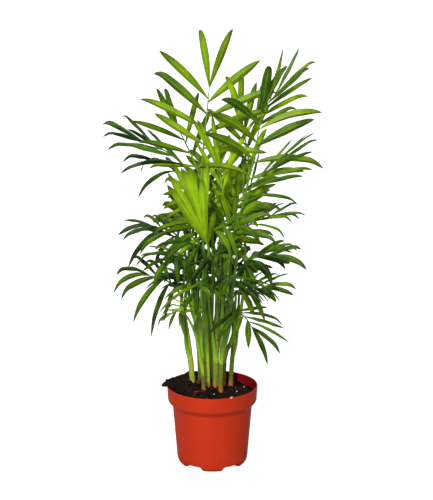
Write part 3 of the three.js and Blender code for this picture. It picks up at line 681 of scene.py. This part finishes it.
def make_pot(looks):
    """The pot's section turned about Z, with arches between its feet and drain holes in its floor.
    Below the floor, a point at height z under an arch rises to z + (lift - z) * arch."""
    bend = looks.bend / MM
    hollow = POT_OUTLINE[0][0] - FOOT_WIDTH
    floor = FLOOR_LIFT + WALL
    lip = (RIM_RADIUS - WALL, POT_TOP)
    outside = [(0.0, FLOOR_LIFT), (hollow, FLOOR_LIFT), (hollow, 0), *POT_OUTLINE]
    inside = [(inside_radius(height), height) for height in (COLLAR_FOOT, SHOULDER_FOOT, HEEL_TOP, floor)]
    outer = rounded([*outside, lip], bend)[:-1]
    inner = rounded([(RIM_RADIUS, POT_TOP), lip, *inside, (0.0, floor)], bend)[1:]
    section = np.concatenate([outer, inner])
    steps = np.linalg.norm(np.diff(section, axis=0), axis=1)
    section = np.concatenate([section[:1], section[1:][steps > LEAST_STEP]])
    fine = []
    for start, end in zip(section[:-1], section[1:]):
        count = max(1, int(np.ceil(np.linalg.norm(end - start) / LONGEST_STEP)))
        fine.append(lerp(start, end, (np.arange(count) / count)[:, None]))
    section = np.concatenate([*fine, section[-1:]])
    angle = turn_round(looks.sides)
    radius, height = section[1:-1, 0][:, None], section[1:-1, 1][:, None]
    lifted = height + np.clip(FLOOR_LIFT - height, 0, None) * arch_share(angle)[None, :] * ARCH_RISE
    corners = polar(radius, angle, lifted)
    rings, around = corners.shape[:2]
    poles = np.array([[0, 0, section[0, 1]], [0, 0, section[-1, 1]]])
    quads = tube_faces(1, rings, around)[0]
    side = np.arange(around)
    first, last = rings * around, (rings - 1) * around
    start = np.stack([np.full(around, first), (side + 1) % around, side], axis=-1)
    end = np.stack([np.full(around, first + 1), last + side, last + (side + 1) % around], axis=-1)
    # The rings inside the pot, which take the painted shade of the inner wall.
    within = (np.arange(rings) > np.argmax(section[1:-1, 1])).astype(float)
    skins = Skins()
    skins.add(
        np.concatenate([corners.reshape(-1, 3), poles]), [quads, start, end],
        inner=np.concatenate([np.repeat(within, around), [0, 1]]),
    )
    pot = skins.piece("nursery_pot", [plastic_material(looks)], 50)
    cut_drains(pot)
    return finished(pot, "pot_plastic", "pot")


def cut_drains(pot):
    """Takes a round hole through the floor under each arch."""
    skins = Skins()
    place = POT_OUTLINE[0][0] - FOOT_WIDTH - 1.5 * DRAIN_RADIUS
    for i in range(FOOT_COUNT):
        way = np.radians(-90 + 360 / FOOT_COUNT * (i + 0.5))
        path = polar(place, way, np.array([3.0, 6, 9, 12]))
        rings = tube(path, np.full(4, float(DRAIN_RADIUS)), 32, ACROSS)
        skins.add(rings, tube_faces(1, 4, 32))
    cutter = skins.piece("drain_cutter", [])
    cut = pot.modifiers.new("Drains", "BOOLEAN")
    cut.operation, cut.solver, cut.object = "DIFFERENCE", "EXACT", cutter
    bpy.context.view_layer.update()
    seen = pot.evaluated_get(bpy.context.evaluated_depsgraph_get())
    pot.data = bpy.data.meshes.new_from_object(seen)
    pot.modifiers.clear()
    bpy.data.objects.remove(cutter)


# ---- Potting mix ----


def mix_height(x, y):
    """The top of the mix: level, plus heaps that fall off as exp(-d^2), plus two crossing waves."""
    waves = np.sin(0.31 * x + 1.3) * np.cos(0.27 * y - 0.4) + 0.6 * np.sin(0.23 * x + 0.53 * y)
    heaped = sum(
        tall * np.exp(-((x - at) ** 2 + (y - beside) ** 2) / wide ** 2) for at, beside, tall, wide in HEAPS
    )
    return MIX_LEVEL + heaped + 1.2 * waves


def mix_surface(x, y, lump):
    """The top with its lumps: noise at three sizes, each smaller one lower, and folded so that it heaps."""
    total = 0
    for seed, size, high in ((3, 7.0, 0.8), (4, 3.1, 0.62), (5, 1.5, 0.36)):
        total = total + high * np.abs(lattice_noise(x / size + seed, y / size - seed, seed))
    return mix_height(x, y) + lump * (total - 0.5)


def lump_corners():
    """The twelve corners and twenty faces of an icosahedron of radius 1, facing out."""
    g = (1 + 5 ** 0.5) / 2
    corners = unit(np.array([
        [-1, g, 0], [1, g, 0], [-1, -g, 0], [1, -g, 0], [0, -1, g], [0, 1, g],
        [0, -1, -g], [0, 1, -g], [g, 0, -1], [g, 0, 1], [-g, 0, -1], [-g, 0, 1],
    ]))
    faces = np.array([
        [0, 11, 5], [0, 5, 1], [0, 1, 7], [0, 7, 10], [0, 10, 11], [1, 5, 9], [5, 11, 4], [11, 10, 2],
        [10, 7, 6], [7, 1, 8], [3, 9, 4], [3, 4, 2], [3, 2, 6], [3, 6, 8], [3, 8, 9], [4, 9, 5],
        [2, 4, 11], [6, 2, 10], [8, 6, 7], [9, 8, 1],
    ])
    return corners, faces


def turned(count, rng, tilt):
    """Random turns about Z, each after a small tilt, as matrices."""
    spin = rng.uniform(0, 2 * np.pi, count)
    lean = rng.normal(0, tilt, (count, 2))
    turns = np.eye(3)
    for angle, i, j in ((spin, 0, 1), (lean[:, 0], 1, 2), (lean[:, 1], 2, 0)):
        turn = np.tile(np.eye(3), (count, 1, 1))
        turn[:, i, i] = turn[:, j, j] = np.cos(angle)
        turn[:, j, i], turn[:, i, j] = np.sin(angle), -np.sin(angle)
        turns = turns @ turn
    return turns


def scattered(skins, places, sizes, rng, tilt, jitter):
    """Lumps at places: an icosahedron stretched by its three sizes, its corners moved a little, and turned."""
    corners, faces = lump_corners()
    count = len(places)
    shapes = corners[None] * (1 + rng.uniform(-jitter, jitter, (count, 12, 1))) * sizes[:, None, :]
    shapes = np.einsum("nij,nkj->nki", turned(count, rng, tilt), shapes) + places[:, None, :]
    all_faces = faces[None] + 12 * np.arange(count)[:, None, None]
    skins.add(shapes, [all_faces.reshape(-1, 3)])


MIX_SIDES = 150
MIX_RINGS = 46


def strewn(rng, reach, filled, count):
    """Radii and angles of places spread evenly over a disc, whose radius is reach * sqrt(filled)."""
    return reach * np.sqrt(rng.uniform(0, filled, count)), rng.uniform(0, 2 * np.pi, count)


def make_mix(looks):
    """The mix as a polar grid: rings from the floor up the inside of the wall, then in across its top."""
    lump = looks.lump / MM
    angle = turn_round(MIX_SIDES)
    floor = FLOOR_LIFT + WALL + CLEARANCE
    edge = inside_radius(COLLAR_FOOT) - 0.15
    parts = [
        polar(inside_radius(height) - CLEARANCE, angle, height)
        for height in (floor, HEEL_TOP, SHOULDER_FOOT, COLLAR_FOOT)
    ]
    for part in np.linspace(1, 0.012, MIX_RINGS):
        x, y = edge * part * np.cos(angle), edge * part * np.sin(angle)
        parts.append(np.stack([x, y, mix_surface(x, y, lump)], axis=-1))
    skins = Skins()
    skins.add(np.stack(parts), tube_faces(1, len(parts), MIX_SIDES))
    rng = np.random.default_rng(21)
    count = looks.crumbs
    radius, way = strewn(rng, edge - 1, 1, count)
    heaped = rng.uniform(0, 1, count) < 0.22
    way = np.where(heaped, rng.normal(np.pi, 0.42, count), way)
    radius = np.where(heaped, rng.uniform(0.55, 1.0, count) * (edge - 0.5), radius)
    x, y = radius * np.cos(way), radius * np.sin(way)
    size = np.clip(rng.lognormal(0.0, 0.5, count), 0.45, 3.4)
    sizes = size[:, None] * rng.uniform(0.6, 1.25, (count, 3))
    places = np.stack([x, y, mix_surface(x, y, lump) + 0.25 * size], axis=-1)
    scattered(skins, places, sizes, rng, 0.6, 0.28)
    spilt_over(skins, rng)
    mix = skins.piece("loose_potting_mix", [mix_material(looks)], 45)
    finished(mix, "potting_mix", "potting_mix")
    make_bark(looks, lump, edge)
    make_perlite(looks, lump, edge)


CLODS = 120


def spilt_over(skins, rng):
    """Clods that lie on the rim and hang over it at the heaped side."""
    way = rng.normal(np.pi * 0.985, 0.2, CLODS)
    out = rng.uniform(0, 1, CLODS)
    radius = 49 + 10.5 * out * np.exp(-((way - np.pi) / 0.24) ** 2)
    size = np.clip(rng.lognormal(0.2, 0.4, CLODS), 0.6, 2.6)
    height = POT_TOP + 0.6 * size + 2.4 * rng.uniform(0, 1, CLODS) * (1 - out) - 2.2 * ease(radius, 55, 60)
    sizes = size[:, None] * rng.uniform(0.6, 1.2, (CLODS, 3))
    scattered(skins, polar(radius, way, height), sizes, rng, 0.8, 0.3)


# The flakes that lie at set places (x, y), and the sizes of the two that stand against the canes.
PLACED_FLAKES = ((-16.5, 14.5), (-12, 22), (30, -12))
STANDING_FLAKES = ((3.4, 2.2, 4.6), (3.0, 1.7, 2.4))


def make_bark(looks, lump, edge):
    """Flat flakes of bark on the mix, the largest against the canes."""
    rng = np.random.default_rng(8)
    count = looks.chips
    radius, way = strewn(rng, edge, 0.92, count)
    x, y = radius * np.cos(way), radius * np.sin(way)
    big = rng.uniform(1.2, 3.2, count)
    sizes = np.stack([big, big * rng.uniform(0.35, 0.7, count), big * rng.uniform(0.16, 0.3, count)], axis=-1)
    x[:3], y[:3] = np.transpose(PLACED_FLAKES)
    sizes[:2] = STANDING_FLAKES
    places = np.stack([x, y, mix_surface(x, y, lump) + 0.8 + 0.5 * sizes[:, 2]], axis=-1)
    skins = Skins()
    scattered(skins, places, sizes, rng, 0.35, 0.22)
    finished(skins.piece("bark_chips", [bark_material(looks)], 30), "potting_mix")


# The grain on the rim: where it lies (x, y, z), and its size.
RIM_GRAIN = (22.5, -48.9, POT_TOP + 0.7, 1.7)


def make_perlite(looks, lump, edge):
    """White grains on the mix, and one on the front of the rim."""
    rng = np.random.default_rng(15)
    count = looks.grains
    radius, way = strewn(rng, edge, 0.9, count)
    x, y = radius * np.cos(way), radius * np.sin(way)
    size = rng.uniform(0.45, 1.15, count)
    height = mix_surface(x, y, lump) + 0.9 * size
    x[0], y[0], height[0], size[0] = RIM_GRAIN
    places = np.stack([x, y, height], axis=-1)
    skins = Skins()
    scattered(skins, places, size[:, None] * rng.uniform(0.75, 1.2, (count, 3)), rng, 1.0, 0.25)
    finished(skins.piece("perlite", [perlite_material(looks)], 60), "potting_mix")


# ---- Canes ----


def stem_point(stem, height):
    """The middle of a stem at heights above the mix: out = tan(lean) * rise * (1 + rise / height) / 2."""
    x, y, towards, lean, tall, _ = stem
    height = np.asarray(height, float)
    rise = np.clip(height, 0, None)
    out = np.tan(np.radians(lean)) * rise * lerp(0.5, 1, rise / tall)
    way = np.radians(towards)
    return np.stack([x + out * np.cos(way), y + out * np.sin(way), MIX_LEVEL + height], axis=-1)


def stem_radius(stem, height):
    return stem[5] * (1 - STEM_TAPER * np.clip(height, 0, None) / stem[4])


def make_cane(number, looks, material):
    """A tube up the stem's middle line. Its radius tapers, swells at each ring and at the foot, and closes to
    a point at the top; each sheath overlaps the one above it, so the radius steps in past a ring."""
    stem = STEMS[number]
    rng = np.random.default_rng(40 + number)
    tall, gap = stem[4], looks.ring_gap / MM
    height = np.linspace(-9, tall + 5, 96)
    rings = np.cumsum(np.concatenate([[rng.uniform(12, 20)], rng.uniform(0.8, 1.2, 9) * gap]))
    off = height[:, None] - rings[None, :]
    ridge = np.exp(-((off / 0.9) ** 2)).sum(axis=1)
    shoulder = np.where(off < 0, np.exp(off / 6), 0).sum(axis=1)
    radius = stem_radius(stem, height) * 0.95
    radius = radius + looks.ring_height / MM * (ridge + 0.6 * shoulder)
    radius = radius + 0.7 * np.exp(-np.clip(height, 0, None) / 5)
    radius = radius * (1 - ease(height, tall - 12, tall + 5)) ** 0.8 + 0.25
    turn = turn_round(CANE_SIDES)
    ribbed = 1 + 0.022 * np.sin(7 * turn[None, :] + 0.4 * rng.uniform() + 0.01 * height[:, None])
    corners = tube(stem_point(stem, height), radius[:, None] * ribbed, CANE_SIDES, ACROSS)
    spread = lambda values: np.repeat(values, CANE_SIDES)
    skins = Skins()
    # Its tone holds painted light and shade as well as the cane's age.
    skins.add(
        corners, tube_faces(1, len(height), CANE_SIDES),
        height=spread(height), scar=spread(np.clip(ridge, 0, 1)),
        tone=spread(np.clip(CANE_TONES_WITH_PAINTED_LIGHT[number] - 0.15 + 0.3 * height / tall, 0, 1)),
        around=np.tile(turn, len(height)),
    )
    return finished(skins.piece(f"cane_{number + 1}", [material]), "stem", f"stem_{number + 1}")


# ---- Fronds ----


def rib_of(frond):
    """The rib's ends, its bend, and its three directions: along, out of its upper face, and to its side."""
    start = np.array([frond.x0, frond.y0, MIX_LEVEL + frond.h0], float)
    end = np.array([frond.x1, frond.y1, MIX_LEVEL + frond.h1], float)
    along = unit(end - start)
    around, up = np.radians(frond.around), np.radians(frond.up)
    look = np.array([np.cos(around) * np.cos(up), np.sin(around) * np.cos(up), np.sin(up)])
    face = flatwise(look, along)
    bend = (start + end) / 2 + 2 * frond.bow * face
    return SimpleNamespace(start=start, end=end, along=along, face=face, side=np.cross(face, along), bend=bend)


def rib_point(rib, place):
    """The rib's curve: a quadratic from its start to its end, drawn towards its bend."""
    place = np.asarray(place, float)[..., None]
    before = lerp(rib.start, rib.bend, place)
    return lerp(before, lerp(rib.bend, rib.end, place), place)


def stalk_foot(frond, rib, turn):
    """Where a stalk starts, beside its stem, and the way out from the stem."""
    stem = STEMS[frond.stem]
    foot = stem_point(stem, frond.fork)
    heading = np.arctan2(rib.start[1] - foot[1], rib.start[0] - foot[0]) + np.radians(turn)
    outward = np.array([np.cos(heading), np.sin(heading), 0])
    return foot + outward * (stem_radius(stem, frond.fork) + CLEARANCE + STALK_RADIUS), outward


def stalk_point(frond, rib, way, place):
    """The stalk's curve: a cubic from beside its stem to the rib's start, bowed to its side by a half sine."""
    turn, bow = way
    foot, outward = stalk_foot(frond, rib, turn)
    rise = unit(UP + STALK_LEAN * outward)
    far = np.linalg.norm(rib.start - foot)
    into = unit(rib.bend - rib.start)
    first, last = foot + FOOT_PULL * far * rise, rib.start - RIB_PULL * far * into
    t = np.asarray(place, float)[..., None]
    curve = (
        (1 - t) ** 3 * foot + 3 * (1 - t) ** 2 * t * first + 3 * (1 - t) * t * t * last + t ** 3 * rib.start
    )
    return curve + rib.side * bow * np.sin(np.pi * t)


def leaflet_line(frond, rib, pair, sign, way):
    """One leaflet's root, direction, length, droop and width. Its middle line is root + direction * length * s
    - up * droop * length * s^2."""
    turn, lift = way
    last = frond.pairs - 1
    terminal = pair == last
    vary = np.sin(3.7 * pair + 2.3 * sign + 1.9 * frond.stem + 0.05 * frond.fork)
    rise = np.sin(5.1 * pair + 1.3 * sign + frond.stem)
    place = 1 if terminal else (pair + 0.12 * (1 + sign)) / last
    side = lerp(frond.low, frond.high, pair / (last - 1) if last > 1 else 0)
    angle = np.radians((TERMINAL_SPREAD * frond.high if terminal else side) + turn + 4 * vary)
    raised = np.radians(frond.lift + lift + 5 * rise)
    middle = 1 - 0.16 * (2 * pair / last - 1) ** 2
    far = frond.length * (0.9 if terminal else middle) * (1 + 0.06 * vary)
    width = frond.width * (0.95 if terminal else middle) * (1 - 0.08 * vary)
    direction = (
        rib.along * np.cos(angle) * np.cos(raised)
        + rib.side * sign * np.sin(angle) * np.cos(raised)
        + rib.face * np.sin(raised)
    )
    return rib_point(rib, place), direction, far, frond.droop * (1 + 0.4 * vary), width


def is_near(corners, wanted):
    """How many of the wanted points are corners of the solid."""
    gaps = np.linalg.norm(wanted.reshape(-1, 1, 3) - corners[None], axis=-1)
    return int((gaps.min(axis=1) < MATCH_ROOM).sum())


def stalk_way(frond, rib, corners):
    """The way that the solid's stalk turned: the one whose ring corners the solid has most of."""
    def matched(way):
        points = stalk_point(frond, rib, way, STALK_PLACES)
        along = unit(points[2:] - points[:-2])
        across = flatwise(rib.side, along)
        radii = lerp(STALK_RADIUS, RIB_RADIUS, np.sqrt(STALK_PLACES[1:-1]))[:, None]
        return is_near(corners, np.concatenate([points[1:-1] + across * radii, points[1:-1] - across * radii]))
    return max(STALK_WAYS, key=matched)


def leaflet_way(frond, rib, pair, sign, corners):
    """The way that the solid's leaflet turned, or None where the solid has no such leaflet."""
    def matched(way):
        root, direction, far, droop, width = leaflet_line(frond, rib, pair, sign, way)
        s = LEAFLET_PLACES[:, None]
        middle = root + direction * far * s - UP * droop * far * s * s
        along = unit(direction - 2 * droop * s * UP)
        across = np.cross(flatwise(rib.face, along), along)
        shape = (4 * s * (1 - s)) ** 0.62 * (1.25 - 0.5 * s)
        half = np.maximum(LEAFLET_NECK, width * shape) / 2
        tip = root + direction * far - UP * droop * far
        return is_near(corners, np.concatenate([middle + across * half, middle - across * half, tip[None]]))
    best = max(LEAFLET_WAYS, key=matched)
    return best if matched(best) >= 2 else None


# Across a leaflet's ring: over the top from one edge to the other, then back beneath.
RING_ACROSS = np.array([1, 0.52, 0.07, -0.07, -0.52, -1, -0.52, 0, 0.52])
RING_UNDER = np.array([0, 0, 0, 0, 0, 0, 1, 1, 1])
LEAFLET_STEPS = 14
STALK_SIDES = 10


def leaflet_surface(lines, rib, looks, chance):
    """The leaflets of a frond as thin closed blades. The half width at s is width * 3 * s^0.9 * (1-s)^0.7 / 2.
    Across it, u from -1 to 1, the blade stands (0.45 - |u|^1.15) * fold * half above the middle line, so its
    halves fall away from the midrib, and its edges ripple. The middle line bends to one side by
    sway * s^2 and its tip curls down past three quarters. The ring turns by roll + twist * s."""
    root, direction, far, droop, width = (np.array(values) for values in zip(*lines))
    roll, twist, sway, curl, ripple, fold = chance.T[:6, :, None]
    even = np.linspace(0, 1, LEAFLET_STEPS)
    s = (0.7 * even + 0.3 * (0.5 - 0.5 * np.cos(np.pi * even)))[None, :]
    far, droop, width = far[:, None], droop[:, None], width[:, None]
    level = unit(np.cross(direction, rib.face))
    line = root[:, None] + direction[:, None] * (far * s)[..., None] - UP * (droop * far * s * s)[..., None]
    line = line + level[:, None] * (sway * far * s * s)[..., None]
    line = line - UP * (curl * ease(s, 0.8, 1.15) * 2.6)[..., None]
    along = unit(np.gradient(line, axis=1))
    up = flatwise(rib.face, along)
    across = np.cross(up, along)
    turn = (roll + twist * s)[..., None]
    up, across = up * np.cos(turn) + across * np.sin(turn), across * np.cos(turn) - up * np.sin(turn)
    blade = width * 2.98 * s ** 0.88 * (1 - s) ** 0.7 / 2
    half = np.sqrt(blade ** 2 + (0.7 * (1 - s)) ** 2 + 0.03 ** 2)[..., None]
    u = RING_ACROSS[None, None, :]
    thick = looks.thickness / MM * (1 - 0.55 * s[..., None]) * (1 - ease(s[..., None], 0.93, 1) * 0.7)
    high = (0.45 - np.abs(u) ** 1.15) * fold[..., None] * half
    high = high + 0.16 * (1 - s[..., None]) * (np.abs(u) < 0.1)
    swing = np.sin(2 * np.pi * (2.2 * s + ripple))[..., None] * np.sign(u)
    flutter = np.cos(17 * s + 9 * ripple)[..., None]
    high = high + 0.075 * half * (swing + flutter) * np.abs(u) ** 2
    high = high - thick * RING_UNDER
    corners = line[:, :, None] + across[:, :, None] * (u * half)[..., None] + up[:, :, None] * high[..., None]
    flat = lambda values: np.broadcast_to(values, corners.shape[:3]).ravel()
    return corners, flat(u), flat(s[..., None]), flat(RING_UNDER)


def stalk_surface(frond, rib, way):
    """The stalk and the rib as one tube: up out of the cane as a sheath, along the stalk and along the rib."""
    stem = STEMS[frond.stem]
    foot, _ = stalk_foot(frond, rib, way[0])
    drop = min(26.0, frond.fork - 8)
    part = np.linspace(0, 1, 12, endpoint=False)
    height = frond.fork - drop * (1 - part)
    low = stem_point(stem, height)
    slide = ease(part, 0.1, 1.15)[:, None]
    low[:, :2] = lerp(low[:, :2], foot[:2], slide)
    places = np.linspace(0, 1, 26, endpoint=False)
    stalk = stalk_point(frond, rib, way, places)
    ribs = np.linspace(0, 1, 16)
    path = np.concatenate([low, stalk, rib_point(rib, ribs)])
    for _ in range(2):
        path[9:18] = (path[8:17] + 2 * path[9:18] + path[10:19]) / 4
    radii = np.concatenate([
        lerp(stem_radius(stem, height) * 1.04 + 0.1, STALK_RADIUS + 0.1, ease(part, 0, 1)),
        lerp(STALK_RADIUS, RIB_RADIUS * 0.92, np.sqrt(places)),
        lerp(RIB_RADIUS * 0.92, RIB_TIP_RADIUS * 0.62, ribs),
    ])
    reference = rib.side if abs(rib.side[2]) < 0.9 else rib.face
    return tube(path, radii, STALK_SIDES, reference), np.repeat(np.linspace(0, 1, len(path)), STALK_SIDES)


def make_frond(number, looks, materials):
    """A frond: its stalk and rib, and every leaflet that its solid has."""
    frond = FRONDS[number]
    name = f"frond_{number + 1}"
    solid = frame["nodes"][name].data.vertices
    corners = np.empty(len(solid) * 3)
    solid.foreach_get("co", corners)
    corners = corners.reshape(-1, 3) / MM
    rib = rib_of(frond)
    way = stalk_way(frond, rib, corners)
    skins = Skins()
    tubes, along = stalk_surface(frond, rib, way)
    skins.add(tubes, tube_faces(1, len(tubes), STALK_SIDES), 1, tone=frond.tone, along=along)
    lines, chances = [], []
    rng = np.random.default_rng(100 + number)
    for pair in range(frond.pairs):
        for sign in (-1, 1):
            draw = rng.uniform(-1, 1, 8)
            side_way = leaflet_way(frond, rib, pair, sign, corners)
            if side_way is None:
                continue
            lines.append(leaflet_line(frond, rib, pair, sign, side_way))
            # Its roll, twist, sway, curl, ripple and fold, then its draws for tone and dryness.
            chances.append([
                0.14 * draw[0], looks.twist * (0.35 * sign + 0.65 * draw[1]), 0.05 * draw[2] - 0.02 * sign,
                looks.curl / MM * max(0, 0.35 + 0.65 * draw[3]), draw[4], looks.fold * (1 + 0.35 * draw[5]),
                draw[6], draw[7],
            ])
    chance = np.array(chances)
    blades, across, place, under = leaflet_surface(lines, rib, looks, chance)
    count, rings, around = blades.shape[:3]
    each = lambda values: np.repeat(values, rings * around)
    # Each leaflet's tone: the frond's tone, which holds painted shade for fronds at the back and inside the
    # plant, with a random step.
    tone = np.clip(frond.tone + 0.18 * each(chance[:, 6]), 0, 1)
    dried = each(np.clip(chance[:, 7] - 0.15, 0, 1))
    skins.add(
        blades, tube_faces(count, rings, around), 0, tone=tone, across=across, along=place, under=under,
        dry=dried * ease(place, 0.84, 0.97),
    )
    slot = next(part["material_slot"] for part in frame["record"]["subparts"] if part["node"] == name)
    return finished(skins.piece(f"palm_{name}", materials, 55), slot, name)


# ---- Operators ----


def make_mottle():
    """The node group that canes and fronds share, made by the first of them."""
    if "Mottle" not in bpy.data.node_groups:
        make_group("Mottle", {"Vector": None, "Scale": 60.0}, mottle)


class PALM_OT_pot(bpy.types.Operator):
    """Make the nursery pot"""

    bl_idname = "palm.pot"
    bl_label = "Pot"

    def execute(self, context):
        make_group("Moulded Plastic", {"Vector": None}, moulded_plastic)
        make_pot(context.scene.palm_pot)
        return {"FINISHED"}


class PALM_OT_mix(bpy.types.Operator):
    """Make the potting mix, with its crumbs, bark chips and perlite"""

    bl_idname = "palm.mix"
    bl_label = "Potting mix"

    def execute(self, context):
        make_mix(context.scene.palm_mix)
        return {"FINISHED"}


class PALM_OT_canes(bpy.types.Operator):
    """Make the canes"""

    bl_idname = "palm.canes"
    bl_label = "Canes"

    def execute(self, context):
        looks = context.scene.palm_canes
        make_mottle()
        material = cane_material(looks)
        for number in range(len(STEMS)):
            make_cane(number, looks, material)
        return {"FINISHED"}


class PALM_OT_fronds(bpy.types.Operator):
    """Make the fronds: stalks, ribs and leaflets"""

    bl_idname = "palm.fronds"
    bl_label = "Fronds"

    def execute(self, context):
        looks = context.scene.palm_fronds
        make_mottle()
        make_group("Leaf Veins", {"Across": 0.0, "Veins": 7.0}, leaf_veins)
        materials = [leaf_material(looks), stalk_material(looks)]
        for number in range(len(FRONDS)):
            make_frond(number, looks, materials)
        return {"FINISHED"}


class PALM_OT_stage(bpy.types.Operator):
    """Make the floor, the lights and the camera"""

    bl_idname = "palm.stage"
    bl_label = "Stage"

    def execute(self, context):
        make_stage(context.scene, context.scene.palm_stage)
        return {"FINISHED"}


# Half the floor's width, and the camera: how far to the side, how high, and how far it looks down in degrees.
FLOOR_HALF = 30000.0
CAMERA_SIDE = 5
CAMERA_HEIGHT = 640
CAMERA_DIP = 13.33


def sun(name, strength, softness, around, up):
    """A far light from a compass angle and a height, both in degrees; softness is its angle in degrees."""
    data = bpy.data.lights.new(name, "SUN")
    data.energy = strength
    data.angle = np.radians(softness)
    made = bpy.data.objects.new(name, data)
    made.rotation_euler = (np.radians(90 - up), 0, np.radians(around))
    bpy.context.scene.collection.objects.link(made)


def make_stage(scene, looks):
    """A wide flat floor, soft light from the front and both sides, and the camera. Seen directly, floor and sky
    glow to one plain white; the light that they send to the plant stays low, so its shades stay deep."""
    skins = Skins()
    corners = FLOOR_HALF * np.array([[-1, -1, 0], [1, -1, 0], [1, 1, 0], [-1, 1, 0]])
    skins.add(corners, [np.array([[0, 1, 2, 3]])])
    floor = skins.piece("floor", [floor_material(looks)])
    world = bpy.data.worlds.new("Studio")
    world.use_nodes = True
    sky = world.node_tree.nodes["Background"]
    sky.inputs["Color"].default_value = (1, 1, 1, 1)
    world.node_tree.links.new(Shade(world.node_tree).seen_glow(1.0, looks.sky), sky.inputs["Strength"])
    scene.world = world
    sun("key", looks.key, 12, -16, 34)
    sun("fill", looks.fill, 40, 28, 10)
    sun("back", looks.back, 60, 172, 40)
    camera = bpy.data.cameras.new("camera")
    camera.lens = looks.lens
    camera.sensor_width = 36
    camera.clip_end = 100
    seen = bpy.data.objects.new("camera", camera)
    seen.location = (CAMERA_SIDE * MM, -looks.distance, CAMERA_HEIGHT * MM)
    seen.rotation_euler = (np.radians(90 - CAMERA_DIP), 0, 0)
    scene.collection.objects.link(seen)
    scene.camera = seen
    scene.view_settings.view_transform = "Standard"


class PALM_PT_panel(bpy.types.Panel):
    """Sizes, colours and steps for the potted palm"""

    bl_idname = "PALM_PT_panel"
    bl_label = "Potted palm"
    bl_space_type = "VIEW_3D"
    bl_region_type = "UI"
    bl_category = "Palm"

    def draw(self, context):
        for operator, group_name in STEPS:
            box = self.layout.box()
            box.operator(operator)
            looks = getattr(context.scene, group_name)
            for name in looks.bl_rna.properties.keys():
                if name not in {"rna_type", "name"}:
                    box.prop(looks, name)


GROUPS = {
    "palm_pot": PALM_PG_pot,
    "palm_mix": PALM_PG_mix,
    "palm_canes": PALM_PG_canes,
    "palm_fronds": PALM_PG_fronds,
    "palm_stage": PALM_PG_stage,
}
STEPS = [(name.replace("_", "."), name) for name in GROUPS]
CLASSES = (
    *GROUPS.values(), PALM_OT_pot, PALM_OT_mix, PALM_OT_canes, PALM_OT_fronds, PALM_OT_stage, PALM_PT_panel,
)


def register():
    for made in CLASSES:
        bpy.utils.register_class(made)
    for name, made in GROUPS.items():
        setattr(bpy.types.Scene, name, PointerProperty(type=made))


def unregister():
    for name in GROUPS:
        delattr(bpy.types.Scene, name)
    for made in reversed(CLASSES):
        bpy.utils.unregister_class(made)


def main():
    register()
    for operator, _ in STEPS:
        area, name = operator.split(".")
        getattr(getattr(bpy.ops, area), name)()


if __name__ == "__main__":
    main()
